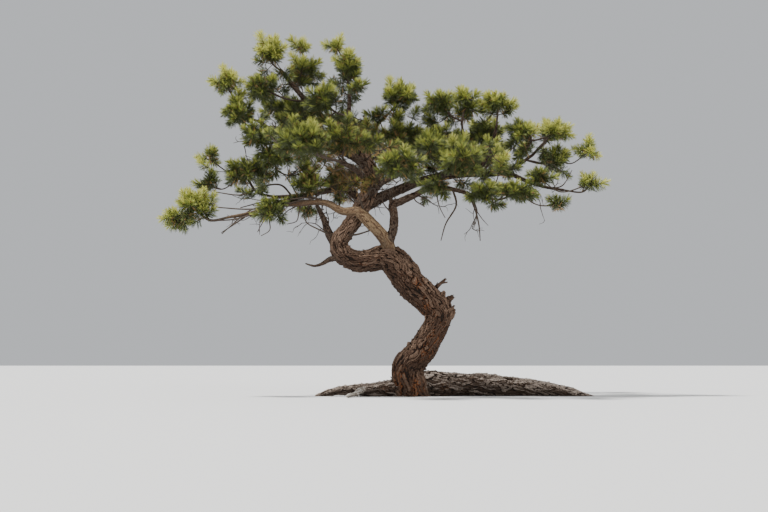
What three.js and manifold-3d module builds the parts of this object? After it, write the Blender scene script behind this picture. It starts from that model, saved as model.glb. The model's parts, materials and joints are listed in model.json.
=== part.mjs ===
// A wind-shaped pine, rooted on level ground, about 3.8 m tall.
// Millimetres, +Z up. The origin is the middle of the trunk's flat cut at ground level.
// The trunk leans out to the right, swings back over its foot, turns up in a hairpin and ends in a leader.
// Each limb is one tapering solid.
// Each mass of needles is one solid that grows from its bough by a seeded rule.

import * as THREE from "three";
import { mergeVertices } from "three/addons/utils/BufferGeometryUtils.js";
import Module from "manifold-3d";

const wasm = await Module();
wasm.setup();

// Clear space between two solids that meet.
const CLEARANCE = 0.35;
// Depth to which a limb or a stem is started inside its parent before it is cut back.
const SOCKET = 30;

// A tuft: a slim core round the shoot's end, with needles that stand out of it.
// It stands mostly above its middle, which lies this share of its reach lower for that.
const TUFT_DROP = 0.14;
// Its needles reach as far as the mass needs to look full, between these limits.
const TUFT_REACH_LEAST = 108;
const TUFT_REACH_MOST = 148;
const TUFT_REACH_SHARE = 0.61;
const TUFT_REACH_SPREAD = 0.07;
const CORE_RADIUS = 40;
const CORE_STRETCH = 1.6;
const STUB_REACH = 1.2;
const NEEDLE_SWEEP = 0.22;
// A tuft is this much longer along its shoot than it is wide.
const BRUSH_STRETCH = 1.35;
// The rear of a core, below this share of its half length, is bare.
const BARE_BACK = -0.5;
// Half the width of a needle bundle where it leaves the core.
const NEEDLE_ROOM = 14;

// A mass: how close its shoots stand, how twigs thicken, and how they bend.
const SHOOT_SPACING = 0.78;
const SHOOT_SPACING_LEAST = 0.7;
const MASS_SPACING = 0.8;
const TWIG_RADIUS = 6.5;
const TWIG_THICKENING = 0.42;
// A twig's foot is this much thinner, so that it is buried in what carries it.
const TWIG_FOOT = 0.75;
const TWIG_SAG = 0.14;
const TWIG_WANDER = 0.12;
// A twig shorter than this is straight.
const STRAIGHT_TWIG = 150;
const TWIG_ROOM = 8;
const DETOUR_COST = 0.35;
const END_COST = 60;
const HEART_DROP = 0.3;
const GOLDEN_ANGLE = Math.PI * (3 - Math.sqrt(5));

// Features of a mass below this size are left out.
const FOLIAGE_DETAIL = 4;

// Bark relief of the faceted limbs, as a share of the radius.
const GNARL = { trunk: 0.055, root: 0.08, bough: 0.04, twig: 0 };

// Limbs. "through" are the points that the middle line passes, after its start on the parent.
// "radii" are spread evenly along the length.
const LIMBS = {
  trunk: {
    through: [
      [10, 0, -135], [0, 0, 0], [-20, -10, 120], [-45, -28, 270], [0, -38, 350],
      [70, -48, 425], [170, -60, 570], [240, -60, 695], [270, -55, 815], [190, -46, 930],
      [80, -36, 1035], [-20, -25, 1125], [-110, -12, 1250], [-200, 0, 1350], [-290, 8, 1385],
      [-420, 20, 1360], [-575, 38, 1365], [-715, 55, 1455], [-730, 60, 1560], [-665, 60, 1655],
    ],
    radii: [178, 159, 155, 147, 129, 124, 123, 127, 136, 145, 150, 143, 118, 105, 97, 92, 80],
    sides: 12, rings: 32, gnarl: GNARL.trunk,
    stubs: [
      { from: [240, -30, 1080], to: [330, -60, 1155], radius: 26 },
      { from: [330, -50, 935], to: [405, -60, 985], radius: 30 },
    ],
  },
  leader: {
    parent: "trunk", at: 1,
    through: [
      [-585, 55, 1765], [-505, 40, 1905], [-435, 10, 2055],
      [-400, -10, 2220], [-475, 0, 2385], [-585, 20, 2525],
    ],
    radii: [76, 80, 84, 76, 62, 42],
    sides: 9, rings: 11, gnarl: GNARL.bough,
  },
  left_arm: {
    parent: "trunk", at: 0.708,
    through: [
      [-250, -20, 1530], [-320, -60, 1625], [-430, -140, 1730], [-540, -170, 1825], [-690, -170, 1835],
      [-870, -150, 1920], [-1120, -150, 1910], [-1365, -180, 1885], [-1610, -200, 1810], [-1855, -230, 1755],
    ],
    radii: [78, 61, 60, 40, 31, 25, 20, 16, 13],
    sides: 7, rings: 15, gnarl: GNARL.bough,
  },
  left_upper_arm: {
    parent: "leader", at: 0.36,
    through: [[-680, 120, 2105], [-925, 220, 2095], [-1175, 250, 2055], [-1445, 230, 2040]],
    radii: [45, 32, 25, 18],
    sides: 5, rings: 7, gnarl: GNARL.bough,
  },
  left_limb: {
    parent: "trunk", at: 0.924,
    through: [[-800, 70, 1570], [-860, 80, 1685], [-910, 60, 1820], [-970, 0, 1930]],
    radii: [60, 42, 29, 18],
    sides: 5, rings: 5, gnarl: GNARL.bough,
  },
  upper_left_bough: {
    parent: "leader", at: 0.74,
    through: [
      [-625, -60, 2425], [-825, -110, 2485], [-1125, -150, 2550], [-1410, -150, 2660], [-1560, -140, 2770],
    ],
    radii: [50, 37, 30, 24, 17],
    sides: 5, rings: 8, gnarl: GNARL.bough,
  },
  top_bough: {
    parent: "leader", at: 1,
    through: [[-855, 45, 2790], [-1065, 60, 2995], [-1230, 40, 3190], [-1360, 10, 3345]],
    radii: [38, 32, 27, 17],
    sides: 5, rings: 6, gnarl: GNARL.bough,
  },
  spire_bough: {
    parent: "leader", at: 0.84,
    through: [[-595, -90, 2605], [-635, -70, 2870], [-630, -40, 3105]],
    radii: [34, 26, 15],
    sides: 5, rings: 5, gnarl: GNARL.bough,
  },
  peak_bough: {
    parent: "leader", at: 0.65,
    through: [[-445, 110, 2535], [-365, 150, 2765], [-240, 125, 2895]],
    radii: [34, 24, 15],
    sides: 5, rings: 5, gnarl: GNARL.bough,
  },
  right_main: {
    parent: "leader", at: 0.32,
    through: [
      [-115, 60, 2095], [190, 80, 2205], [550, 60, 2250], [805, 40, 2250],
      [990, 40, 2250], [1180, 20, 2170], [1365, 0, 2105], [1555, -20, 2070],
    ],
    radii: [62, 50, 43, 35, 27, 18, 12],
    sides: 7, rings: 12, gnarl: GNARL.bough,
  },
  right_low_bough: {
    parent: "left_arm", at: 0.075,
    through: [
      [-190, -55, 1650], [-180, -75, 1800], [-190, -85, 1910], [-120, -90, 1940],
      [30, -110, 2005], [180, -130, 2075], [430, -160, 2050], [655, -190, 1970],
    ],
    radii: [50, 43, 40, 32, 27, 22, 16],
    sides: 6, rings: 14, gnarl: GNARL.bough,
  },
  right_up_bough: {
    parent: "right_main", at: 0.488,
    through: [[560, 40, 2415], [550, 30, 2580], [520, 20, 2725]],
    radii: [30, 23, 15],
    sides: 5, rings: 5, gnarl: GNARL.bough,
  },
  right_peak_bough: {
    parent: "right_main", at: 0.572,
    through: [[760, 80, 2400], [830, 70, 2565], [880, 20, 2765]],
    radii: [26, 19, 13],
    sides: 5, rings: 5, gnarl: GNARL.bough,
  },
  right_end_bough: {
    parent: "right_main", at: 0.696,
    through: [[1115, 70, 2360], [1275, 80, 2475]],
    radii: [24, 18, 13],
    sides: 5, rings: 5, gnarl: GNARL.bough,
  },
  front_left_bough: {
    parent: "leader", at: 0.505,
    through: [[-535, -330, 2200], [-720, -600, 2260]],
    radii: [40, 30, 18],
    sides: 5, rings: 4, gnarl: GNARL.bough,
  },
  front_right_bough: {
    parent: "leader", at: 0.43,
    through: [[-280, -280, 2110], [-170, -500, 2120]],
    radii: [38, 28, 17],
    sides: 5, rings: 4, gnarl: GNARL.bough,
  },
  back_left_bough: {
    parent: "leader", at: 0.7,
    through: [[-680, 350, 2545], [-930, 650, 2705]],
    radii: [42, 31, 18],
    sides: 5, rings: 4, gnarl: GNARL.bough,
  },
  back_right_bough: {
    parent: "leader", at: 0.55,
    through: [[-195, 360, 2425], [5, 650, 2595]],
    radii: [40, 29, 17],
    sides: 5, rings: 4, gnarl: GNARL.bough,
  },
  right_back_bough: {
    parent: "right_main", at: 0.323,
    through: [[440, 400, 2360], [665, 640, 2475]],
    radii: [32, 23, 15],
    sides: 5, rings: 4, gnarl: GNARL.bough,
  },
  right_front_bough: {
    parent: "right_main", at: 0.372,
    through: [[365, -250, 2215], [420, -500, 2210]],
    radii: [30, 21, 14],
    sides: 5, rings: 4, gnarl: GNARL.bough,
  },
  root_right: {
    parent: "trunk", at: 0.091,
    through: [
      [130, 45, 118], [280, 60, 122], [585, 90, 116], [935, 100, 94],
      [1285, 90, 58], [1580, 60, 5], [1870, 20, -65],
    ],
    radii: [125, 112, 104, 98, 94, 84, 70, 44],
    sides: 9, rings: 12, gnarl: GNARL.root,
  },
  root_left: {
    parent: "trunk", at: 0.081,
    through: [[-270, -40, 74], [-470, -70, 64], [-665, -60, 66], [-815, -30, 36], [-975, 0, -16]],
    radii: [100, 84, 60, 43, 34, 24],
    sides: 8, rings: 9, gnarl: GNARL.root,
  },
  root_bleached: {
    parent: "root_left", at: 0.452,
    through: [[-515, -150, 58], [-545, -260, 32], [-605, -380, 22], [-630, -520, 16]],
    radii: [30, 29, 21, 18, 12],
    sides: 5, rings: 6, gnarl: GNARL.root,
  },
  snag: {
    parent: "trunk", at: 0.882,
    through: [[-820, 50, 1375], [-910, 45, 1325], [-990, 40, 1305], [-1080, 35, 1330]],
    radii: [46, 34, 22, 12, 6],
    sides: 5, rings: 6, gnarl: GNARL.bough,
  },
  dead_twig_long: {
    parent: "right_low_bough", at: 0.8,
    through: [[440, -175, 1895], [335, -170, 1705], [285, -165, 1535]],
    radii: [11, 9, 7, 4],
    sides: 3, rings: 5, gnarl: GNARL.twig,
  },
  dead_twig_forked: {
    parent: "right_low_bough", at: 0.93,
    through: [[635, -190, 1820], [665, -185, 1680], [675, -185, 1530]],
    radii: [11, 9, 7, 4],
    sides: 3, rings: 5, gnarl: GNARL.twig,
    forks: [
      { at: 0.45, to: [600, -200, 1655], radius: 6 },
      { at: 0.3, to: [760, -150, 1690], radius: 6 },
    ],
  },
  dead_twig_left: {
    parent: "left_arm", at: 0.87,
    through: [[-1715, -235, 1725], [-1800, -240, 1665], [-1890, -240, 1605]],
    radii: [9, 8, 6, 4],
    sides: 3, rings: 4, gnarl: GNARL.twig,
  },
};

// Masses of needles. Each grows from its bough at the share "at" of the bough's length.
// A lump is [x, y, z, half width, half depth, half height, shoots].
const MASSES = {
  needles_left_tip: {
    bough: "left_arm", at: 1,
    lumps: [[-2155, -240, 1895, 220, 220, 180, 5], [-2345, -200, 1780, 120, 150, 100, 2]],
  },
  needles_left_under: { bough: "left_arm", at: 0.66, lumps: [[-1395, -290, 1845, 150, 150, 120, 3]] },
  needles_left_fan: {
    bough: "left_upper_arm", at: 1,
    lumps: [
      [-1700, 180, 2295, 230, 230, 165, 5],
      [-2090, 120, 2190, 135, 120, 115, 2],
      [-2100, 260, 2480, 115, 110, 115, 1],
    ],
  },
  needles_upper_left: {
    bough: "upper_left_bough", at: 1,
    lumps: [[-1750, -120, 2875, 160, 200, 150, 4], [-1890, -100, 3195, 165, 160, 130, 3]],
  },
  needles_upper_left_low: {
    bough: "upper_left_bough", at: 0.7,
    lumps: [[-1535, -330, 2580, 160, 180, 130, 4], [-1365, -260, 2395, 170, 170, 120, 3]],
  },
  needles_top: { bough: "top_bough", at: 1, lumps: [[-1455, 0, 3540, 175, 190, 185, 5]] },
  needles_top_column: {
    bough: "top_bough", at: 0.72,
    lumps: [[-1110, 200, 3365, 170, 190, 210, 5], [-1170, 150, 3640, 115, 110, 105, 1]],
  },
  needles_top_shoulder: { bough: "top_bough", at: 0.62, lumps: [[-1495, -150, 3125, 150, 190, 140, 4]] },
  needles_top_inner: { bough: "top_bough", at: 0.4, lumps: [[-1340, 330, 3010, 295, 220, 160, 5]] },
  needles_spire: {
    bough: "spire_bough", at: 1,
    lumps: [
      [-640, -40, 3380, 135, 160, 195, 4],
      [-765, 20, 3590, 95, 100, 105, 1],
      [-555, -170, 3090, 90, 90, 90, 1],
    ],
  },
  needles_spire_shoulder: { bough: "spire_bough", at: 0.62, lumps: [[-880, -260, 2975, 160, 190, 150, 4]] },
  needles_peak: { bough: "peak_bough", at: 1, lumps: [[-115, 100, 3100, 175, 180, 185, 5]] },
  needles_peak_inner: {
    bough: "peak_bough", at: 0.55,
    lumps: [[-95, 180, 2695, 210, 220, 135, 4], [-330, 60, 2860, 105, 100, 95, 1]],
  },
  needles_front_left: { bough: "front_left_bough", at: 1, lumps: [[-1020, -850, 2400, 250, 300, 185, 7]] },
  needles_front_centre: {
    bough: "front_left_bough", at: 0.6,
    lumps: [[-655, -560, 2470, 195, 260, 145, 4]],
  },
  needles_back_left: { bough: "back_left_bough", at: 1, lumps: [[-1215, 900, 2930, 335, 320, 225, 6]] },
  needles_back_centre: { bough: "back_left_bough", at: 0.5, lumps: [[-655, 800, 2910, 245, 280, 175, 4]] },
  needles_back_right: { bough: "back_right_bough", at: 1, lumps: [[235, 950, 2785, 315, 320, 180, 6]] },
  needles_front_right: { bough: "front_right_bough", at: 1, lumps: [[-110, -760, 2195, 225, 280, 160, 6]] },
  needles_low_left: {
    bough: "left_limb", at: 1,
    lumps: [[-1035, -120, 2135, 130, 160, 140, 3], [-1065, 60, 1860, 80, 80, 80, 1]],
  },
  needles_low_centre: { bough: "leader", at: 0.5, lumps: [[-755, 560, 2305, 215, 230, 140, 3]] },
  needles_right_top: {
    bough: "right_up_bough", at: 1,
    lumps: [[555, 40, 2990, 135, 170, 175, 4], [300, -80, 2980, 165, 170, 130, 3]],
  },
  needles_right_mid: {
    bough: "right_up_bough", at: 0.35,
    lumps: [
      [180, -220, 2495, 170, 190, 130, 4],
      [345, -280, 2330, 160, 170, 110, 2],
      [235, -300, 2095, 150, 140, 100, 2],
    ],
  },
  needles_right_peak: { bough: "right_peak_bough", at: 1, lumps: [[890, 10, 2995, 185, 170, 135, 4]] },
  needles_right_inner: { bough: "right_peak_bough", at: 0.6, lumps: [[785, 300, 2735, 220, 220, 160, 5]] },
  needles_right_crest: {
    bough: "right_end_bough", at: 1,
    lumps: [[1450, 60, 2710, 165, 190, 135, 4], [1125, -40, 2680, 155, 180, 120, 3]],
  },
  needles_right_hang: {
    bough: "right_end_bough", at: 0.7,
    lumps: [[1505, 180, 2445, 165, 170, 125, 3], [1815, 60, 2515, 125, 110, 115, 1]],
  },
  needles_right_outer: {
    bough: "right_main", at: 1,
    lumps: [[1810, -30, 2155, 120, 120, 110, 1], [1290, -170, 2180, 140, 130, 90, 2]],
  },
  needles_under_right: {
    bough: "right_low_bough", at: 1,
    lumps: [
      [705, -330, 2020, 145, 160, 120, 3],
      [1025, -200, 2040, 190, 160, 110, 4],
      [1455, -180, 1915, 100, 90, 80, 1],
    ],
  },
  needles_right_back: { bough: "right_back_bough", at: 1, lumps: [[920, 900, 2615, 280, 280, 165, 5]] },
  needles_right_front: { bough: "right_front_bough", at: 1, lumps: [[460, -800, 2225, 190, 260, 130, 4]] },
};

const BARK = { color: 0x6a5849, roughness: 0.92, metalness: 0 };
const BARK_TAN = { color: 0x96683f, roughness: 0.85, metalness: 0 };
const BARK_PALE = { color: 0xa39a8e, roughness: 0.9, metalness: 0 };
const NEEDLES = { color: 0x6f7f33, roughness: 0.6, metalness: 0 };
const FINISHES = {
  left_arm: BARK_TAN,
  root_bleached: BARK_PALE,
  dead_twig_long: BARK_PALE,
  dead_twig_forked: BARK_PALE,
  dead_twig_left: BARK_PALE,
};

// A seeded source of numbers from 0 to 1.
function randomFrom(seed) {
  let state = seed >>> 0;
  return () => {
    state = (state + 0x6d2b79f5) >>> 0;
    let t = state;
    t = Math.imul(t ^ (t >>> 15), t | 1);
    t ^= t + Math.imul(t ^ (t >>> 7), t | 61);
    return ((t ^ (t >>> 14)) >>> 0) / 4294967296;
  };
}

// A whole number worked out from a name, to seed what grows under it.
function seedOf(name) {
  let seed = 7;
  for (const letter of name) seed = (Math.imul(seed, 31) + letter.charCodeAt(0)) >>> 0;
  return seed;
}

// A closed geometry, with its shared vertices merged, as a solid.
function solidOf(geometry) {
  geometry.deleteAttribute("normal");
  geometry.deleteAttribute("uv");
  const merged = mergeVertices(geometry, 1e-3);
  return new wasm.Manifold(
    new wasm.Mesh({
      numProp: 3,
      vertProperties: new Float32Array(merged.attributes.position.array),
      triVerts: new Uint32Array(merged.index.array),
    }),
  );
}

// The largest piece of a solid, without loose scraps and sealed hollows.
function largestPiece(solid) {
  let best = null;
  for (const piece of solid.decompose()) {
    if (!best || piece.volume() > best.volume()) best = piece;
  }
  return best;
}

function geometryOf(solid) {
  const mesh = solid.getMesh();
  const geometry = new THREE.BufferGeometry();
  geometry.setAttribute("position", new THREE.BufferAttribute(new Float32Array(mesh.vertProperties), 3));
  geometry.setIndex(new THREE.BufferAttribute(new Uint32Array(mesh.triVerts), 1));
  const flat = geometry.toNonIndexed();
  flat.computeVertexNormals();
  return flat;
}

function vector(point) {
  return new THREE.Vector3(point[0], point[1], point[2]);
}

// Value of an evenly spaced row at a share of its length.
function along(row, share) {
  const place = THREE.MathUtils.clamp(share, 0, 1) * (row.length - 1);
  const index = Math.min(Math.floor(place), row.length - 2);
  return THREE.MathUtils.lerp(row[index], row[index + 1], place - index);
}

// A line of straight stretches, all counted as equally long, so that the rings of a tube fall on its corners.
class BentLine extends THREE.Curve {
  constructor(corners) {
    super();
    this.corners = corners;
  }

  getPointAt(share) {
    const place = share * (this.corners.length - 1);
    const index = Math.min(Math.floor(place), this.corners.length - 2);
    return this.corners[index].clone().lerp(this.corners[index + 1], place - index);
  }

  getTangentAt(share) {
    const step = 0.5 / (this.corners.length - 1);
    const before = this.getPointAt(Math.max(0, share - step));
    return this.getPointAt(Math.min(1, share + step)).sub(before).normalize();
  }
}

// A closed tapering tube: a cylinder whose rings are carried along a curve.
function tubeSolid(curve, radii, sides, rings, gnarl = 0, grow = 0, phase = 0) {
  const geometry = new THREE.CylinderGeometry(1, 1, 1, sides, rings);
  const frames = curve.computeFrenetFrames(rings, false);
  const points = curve.getSpacedPoints(rings);
  const position = geometry.attributes.position;
  for (let i = 0; i < position.count; i += 1) {
    const share = position.getY(i) + 0.5;
    const ring = Math.round(share * rings);
    const x = position.getX(i);
    const z = position.getZ(i);
    const angle = Math.atan2(z, x);
    const broad = Math.sin(3 * angle + share * 17 + phase);
    const narrow = Math.sin(5 * angle - share * 29 + phase);
    const relief = 1 + gnarl * (broad + 0.7 * narrow);
    const radius = along(radii, share) * relief + grow;
    const point = points[ring].clone();
    if (Math.hypot(x, z) > 0.5) {
      point.addScaledVector(frames.normals[ring], x * radius);
      point.addScaledVector(frames.binormals[ring], -z * radius);
    }
    if (ring === 0) point.addScaledVector(frames.tangents[ring], -grow);
    if (ring === rings) point.addScaledVector(frames.tangents[ring], grow);
    position.setXYZ(i, point.x, point.y, point.z);
  }
  return solidOf(geometry);
}

// One limb: its middle line, its radius along the line, and its solid.
class Limb {
  constructor(name, spec, limbs) {
    this.name = name;
    this.spec = spec;
    const points = spec.through.map(vector);
    if (spec.parent) {
      const parent = limbs[spec.parent];
      const start = parent.point(spec.at);
      if (spec.at === 1) start.addScaledVector(parent.tangent(1), -SOCKET);
      points.unshift(start);
    }
    this.curve = new THREE.CatmullRomCurve3(points);
    this.curve.arcLengthDivisions = 400;
    this.radii = spec.radii;
  }

  point(share) {
    return this.curve.getPointAt(share);
  }

  tangent(share) {
    return this.curve.getTangentAt(share);
  }

  radius(share) {
    return along(this.radii, share);
  }

  solid(grow = 0) {
    const { sides, rings, gnarl, forks = [], stubs = [] } = this.spec;
    const phase = this.name.length;
    let solid = tubeSolid(this.curve, this.radii, sides, rings, gnarl, grow, phase);
    for (const fork of forks) {
      const from = this.point(fork.at);
      const bend = from.clone().lerp(vector(fork.to), 0.5).addScaledVector(this.tangent(fork.at), 25);
      const line = new THREE.CatmullRomCurve3([from, bend, vector(fork.to)]);
      solid = solid.add(tubeSolid(line, [fork.radius, fork.radius * 0.5], 3, 3, 0, grow));
    }
    for (const stub of stubs) {
      const line = new THREE.LineCurve3(vector(stub.from), vector(stub.to));
      solid = solid.add(tubeSolid(line, [stub.radius, stub.radius * 0.5], 5, 1, 0, grow));
    }
    return solid;
  }

  // The limb as straight stretches with a radius, for clearances.
  stretches() {
    const count = Math.max(4, Math.round(this.curve.getLength() / 70));
    const rows = [];
    for (let i = 0; i < count; i += 1) {
      const from = i / count;
      const to = (i + 1) / count;
      const radius = Math.max(this.radius(from), this.radius(to));
      rows.push({ from: this.point(from), to: this.point(to), radius, owner: this.name });
    }
    return rows;
  }
}

// Least distance between two straight stretches.
function stretchDistance(a, b, c, d) {
  const u = b.clone().sub(a);
  const v = d.clone().sub(c);
  const w = a.clone().sub(c);
  const uu = u.dot(u);
  const vv = v.dot(v);
  const uv = u.dot(v);
  const uw = u.dot(w);
  const vw = v.dot(w);
  const bottom = uu * vv - uv * uv;
  let s = bottom > 1e-9 ? THREE.MathUtils.clamp((uv * vw - vv * uw) / bottom, 0, 1) : 0;
  let t = vv > 1e-9 ? (uv * s + vw) / vv : 0;
  t = THREE.MathUtils.clamp(t, 0, 1);
  s = uu > 1e-9 ? THREE.MathUtils.clamp((uv * t - uw) / uu, 0, 1) : 0;
  const p = a.clone().addScaledVector(u, s);
  const q = c.clone().addScaledVector(v, t);
  return p.distanceTo(q);
}

// Everything that a shoot keeps clear of: limbs, and the shoots and twigs of the other masses.
class Space {
  constructor() {
    this.stretches = [];
    this.tufts = [];
  }

  addLimb(limb) {
    this.stretches.push(...limb.stretches());
  }

  // A tuft stands clear when its core misses every stretch and its middle is far from the other masses.
  tuftClear(tuft, owner, spacing) {
    for (const row of this.stretches) {
      if (row.owner === owner) continue;
      const gap = stretchDistance(tuft.middle, tuft.middle, row.from, row.to);
      if (gap < row.radius + CORE_RADIUS * CORE_STRETCH + 6) return false;
    }
    for (const other of this.tufts) {
      const room = (tuft.reach + other.reach) * (other.owner === owner ? 0.5 * spacing : MASS_SPACING);
      if (tuft.middle.distanceTo(other.middle) < room) return false;
    }
    return true;
  }

  // A twig passes clear when it misses the limbs other than its bough, and the other masses.
  twigClear(points, radius, owner, bough) {
    for (let i = 0; i + 1 < points.length; i += 1) {
      const from = points[i];
      const to = points[i + 1];
      for (const row of this.stretches) {
        if (row.owner === owner) continue;
        const reach = row.radius + radius + TWIG_ROOM;
        if (row.owner === bough && i === 0) continue;
        if (stretchDistance(from, to, row.from, row.to) < reach) return false;
      }
      for (const other of this.tufts) {
        if (other.owner === owner) continue;
        const reach = CORE_RADIUS * CORE_STRETCH + radius + TWIG_ROOM;
        if (stretchDistance(from, to, other.middle, other.middle) < reach) return false;
      }
    }
    return true;
  }
}

// Grows one mass: a stem from the bough, a branch to each lump, and a bent twig to each shoot.
class Mass {
  constructor(name, spec, limbs, space) {
    this.name = name;
    this.spec = spec;
    this.space = space;
    this.bough = limbs[spec.bough];
    this.random = randomFrom(seedOf(name));
    this.nodes = [];
    this.twigs = [];
    this.tufts = [];
    this.start();
    for (const lump of spec.lumps) this.fillLump(lump);
    this.settle();
  }

  start() {
    const from = this.bough.point(this.spec.at);
    const heading = this.bough.tangent(this.spec.at);
    if (this.spec.at === 1) from.addScaledVector(heading, -SOCKET);
    this.nodes.push({ point: from, heading, path: 0, parent: -1, load: 0, end: false });
  }

  // The bend of a line from a node to a point. Tries some, and gives null where all are blocked.
  bend(node, to, radius) {
    const gap = to.clone().sub(node.point);
    const length = gap.length();
    for (let attempt = 0; attempt < 10; attempt += 1) {
      const stray = new THREE.Vector3(this.random() - 0.5, this.random() - 0.5, this.random() - 0.5);
      const short = attempt === 0 && length < STRAIGHT_TWIG && node.parent !== -1;
      const wander = short ? 0 : TWIG_WANDER * (1 + attempt * 0.6);
      const middle = node.point.clone().addScaledVector(gap, 0.5);
      middle.addScaledVector(stray, 2 * wander * length);
      if (!short) middle.z -= TWIG_SAG * length;
      if (node.parent === -1) middle.addScaledVector(node.heading, 0.12 * length);
      const skin = node.parent === -1 ? this.bough.radius(this.spec.at) : 0;
      const from = node.point.clone().lerp(middle, Math.min(0.6, skin / middle.distanceTo(node.point)));
      if (this.space.twigClear([from, middle, to], radius, this.name, this.bough.name)) return middle;
    }
    return null;
  }

  addBranch(index, middle, to, end) {
    const node = this.nodes[index];
    const first = middle.distanceTo(node.point);
    const second = to.distanceTo(middle);
    const bendNode = {
      point: middle,
      heading: middle.clone().sub(node.point).normalize(),
      path: node.path + first,
      parent: index,
      load: 0,
      end: false,
    };
    this.nodes.push(bendNode);
    const tip = {
      point: to,
      heading: to.clone().sub(middle).normalize(),
      path: bendNode.path + second,
      parent: this.nodes.length - 1,
      load: 0,
      end,
    };
    this.nodes.push(tip);
    const twig = { nodes: [index, this.nodes.length - 2, this.nodes.length - 1], shoot: end };
    this.twigs.push(twig);
    return { tip, twig };
  }

  // The nodes in the order in which they suit a twig to a point.
  nodesFor(point) {
    const order = this.nodes.slice(1).map((node, place) => {
      const index = place + 1;
      const gap = point.clone().sub(node.point);
      const back = Math.max(0, -gap.clone().normalize().dot(node.heading));
      const cost = gap.length() * (1 + back) + DETOUR_COST * node.path + (node.end ? END_COST : 0);
      return { index, cost };
    });
    return order.sort((a, b) => a.cost - b.cost).slice(0, 4).map((row) => row.index);
  }

  fillLump([x, y, z, halfWidth, halfDepth, halfHeight, shoots]) {
    const heart = new THREE.Vector3(x, y, z - HEART_DROP * halfHeight);
    const stemRadius = TWIG_RADIUS * Math.pow(shoots, TWIG_THICKENING);
    const order = this.nodes.length === 1 ? [0] : this.nodesFor(heart);
    let joined = false;
    for (const index of order) {
      const middle = this.bend(this.nodes[index], heart, stemRadius);
      if (!middle) continue;
      this.addBranch(index, middle, heart, false);
      joined = true;
      break;
    }
    if (!joined) throw new Error(`${this.name} has no clear way to ${x}, ${y}, ${z}`);
    const share = TUFT_REACH_SHARE * 2 * Math.cbrt((halfWidth * halfDepth * halfHeight) / shoots);
    const fullReach = THREE.MathUtils.clamp(share, TUFT_REACH_LEAST, TUFT_REACH_MOST);
    const tries = shoots * 20;
    const turn = this.random() * Math.PI * 2;
    let made = 0;
    for (let i = 0; i < tries && made < shoots; i += 1) {
      const reach = fullReach * (1 + TUFT_REACH_SPREAD * (2 * this.random() - 1));
      const inner = i % 3 === 2 ? 0.45 : 1;
      const rise = 1 - 1.7 * ((i * 0.618034 + 0.2) % 1);
      const ring = Math.sqrt(Math.max(0, 1 - rise * rise));
      const angle = turn + i * GOLDEN_ANGLE;
      const shrink = 0.78 * reach;
      const middle = new THREE.Vector3(
        x + inner * ring * Math.cos(angle) * Math.max(10, halfWidth - shrink),
        y + inner * ring * Math.sin(angle) * Math.max(10, halfDepth - shrink),
        z + inner * rise * Math.max(10, halfHeight - shrink) - TUFT_DROP * reach,
      );
      const tuft = { middle, reach, owner: this.name };
      const spacing = i < tries / 2 ? SHOOT_SPACING : SHOOT_SPACING_LEAST;
      if (!this.space.tuftClear(tuft, this.name, spacing)) continue;
      if (this.addShoot(tuft, heart)) made += 1;
    }
  }

  addShoot(tuft, heart) {
    for (const index of this.nodesFor(tuft.middle)) {
      const middle = this.bend(this.nodes[index], tuft.middle, TWIG_RADIUS);
      if (!middle) continue;
      const { tip, twig } = this.addBranch(index, middle, tuft.middle, true);
      tuft.twig = twig;
      const outward = tuft.middle.clone().sub(heart);
      if (outward.length() > 1) outward.normalize();
      tuft.axis = tip.heading.clone().addScaledVector(outward, 0.2);
      tuft.axis.z += 0.35;
      tuft.axis.normalize();
      tuft.spin = this.random() * Math.PI * 2;
      this.tufts.push(tuft);
      this.space.tufts.push(tuft);
      return true;
    }
    return false;
  }

  // Twigs thicken with the number of shoots that they carry.
  settle() {
    for (const node of this.nodes) {
      if (!node.end) continue;
      for (let step = node; step; step = this.nodes[step.parent]) step.load += 1;
    }
    for (const twig of this.twigs) {
      twig.points = twig.nodes.map((index) => this.nodes[index].point);
      twig.radii = [twig.nodes[1], twig.nodes[1], twig.nodes[2]].map((index) => {
        const load = Math.max(1, this.nodes[index].load);
        return TWIG_RADIUS * Math.pow(load, TWIG_THICKENING);
      });
      if (twig.nodes[0] !== 0) twig.radii[0] *= TWIG_FOOT;
      for (let i = 0; i < 2; i += 1) {
        this.space.stretches.push({
          from: twig.points[i], to: twig.points[i + 1], radius: twig.radii[i], owner: this.name,
        });
      }
    }
  }

  // The share of a needle's arm that stays on its own side of other tufts and misses the limbs.
  needleShare(tuft, arm) {
    let share = 1;
    for (const other of this.space.tufts) {
      if (other === tuft) continue;
      const gap = other.middle.clone().sub(tuft.middle);
      const distance = gap.length();
      if (distance > 2 * (tuft.reach + other.reach)) continue;
      const half = distance * (tuft.reach / (tuft.reach + other.reach)) - 3;
      const lean = arm.dot(gap) / distance;
      if (lean > half) share = Math.min(share, half / lean);
    }
    const tip = tuft.middle.clone().addScaledVector(arm, share);
    const stub = Math.min(share, (STUB_REACH * CORE_RADIUS * CORE_STRETCH) / arm.length());
    for (const row of this.space.stretches) {
      if (row.owner === this.name) continue;
      if (stretchDistance(tuft.middle, tip, row.from, row.to) < row.radius + NEEDLE_ROOM) return stub;
    }
    return share;
  }

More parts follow.
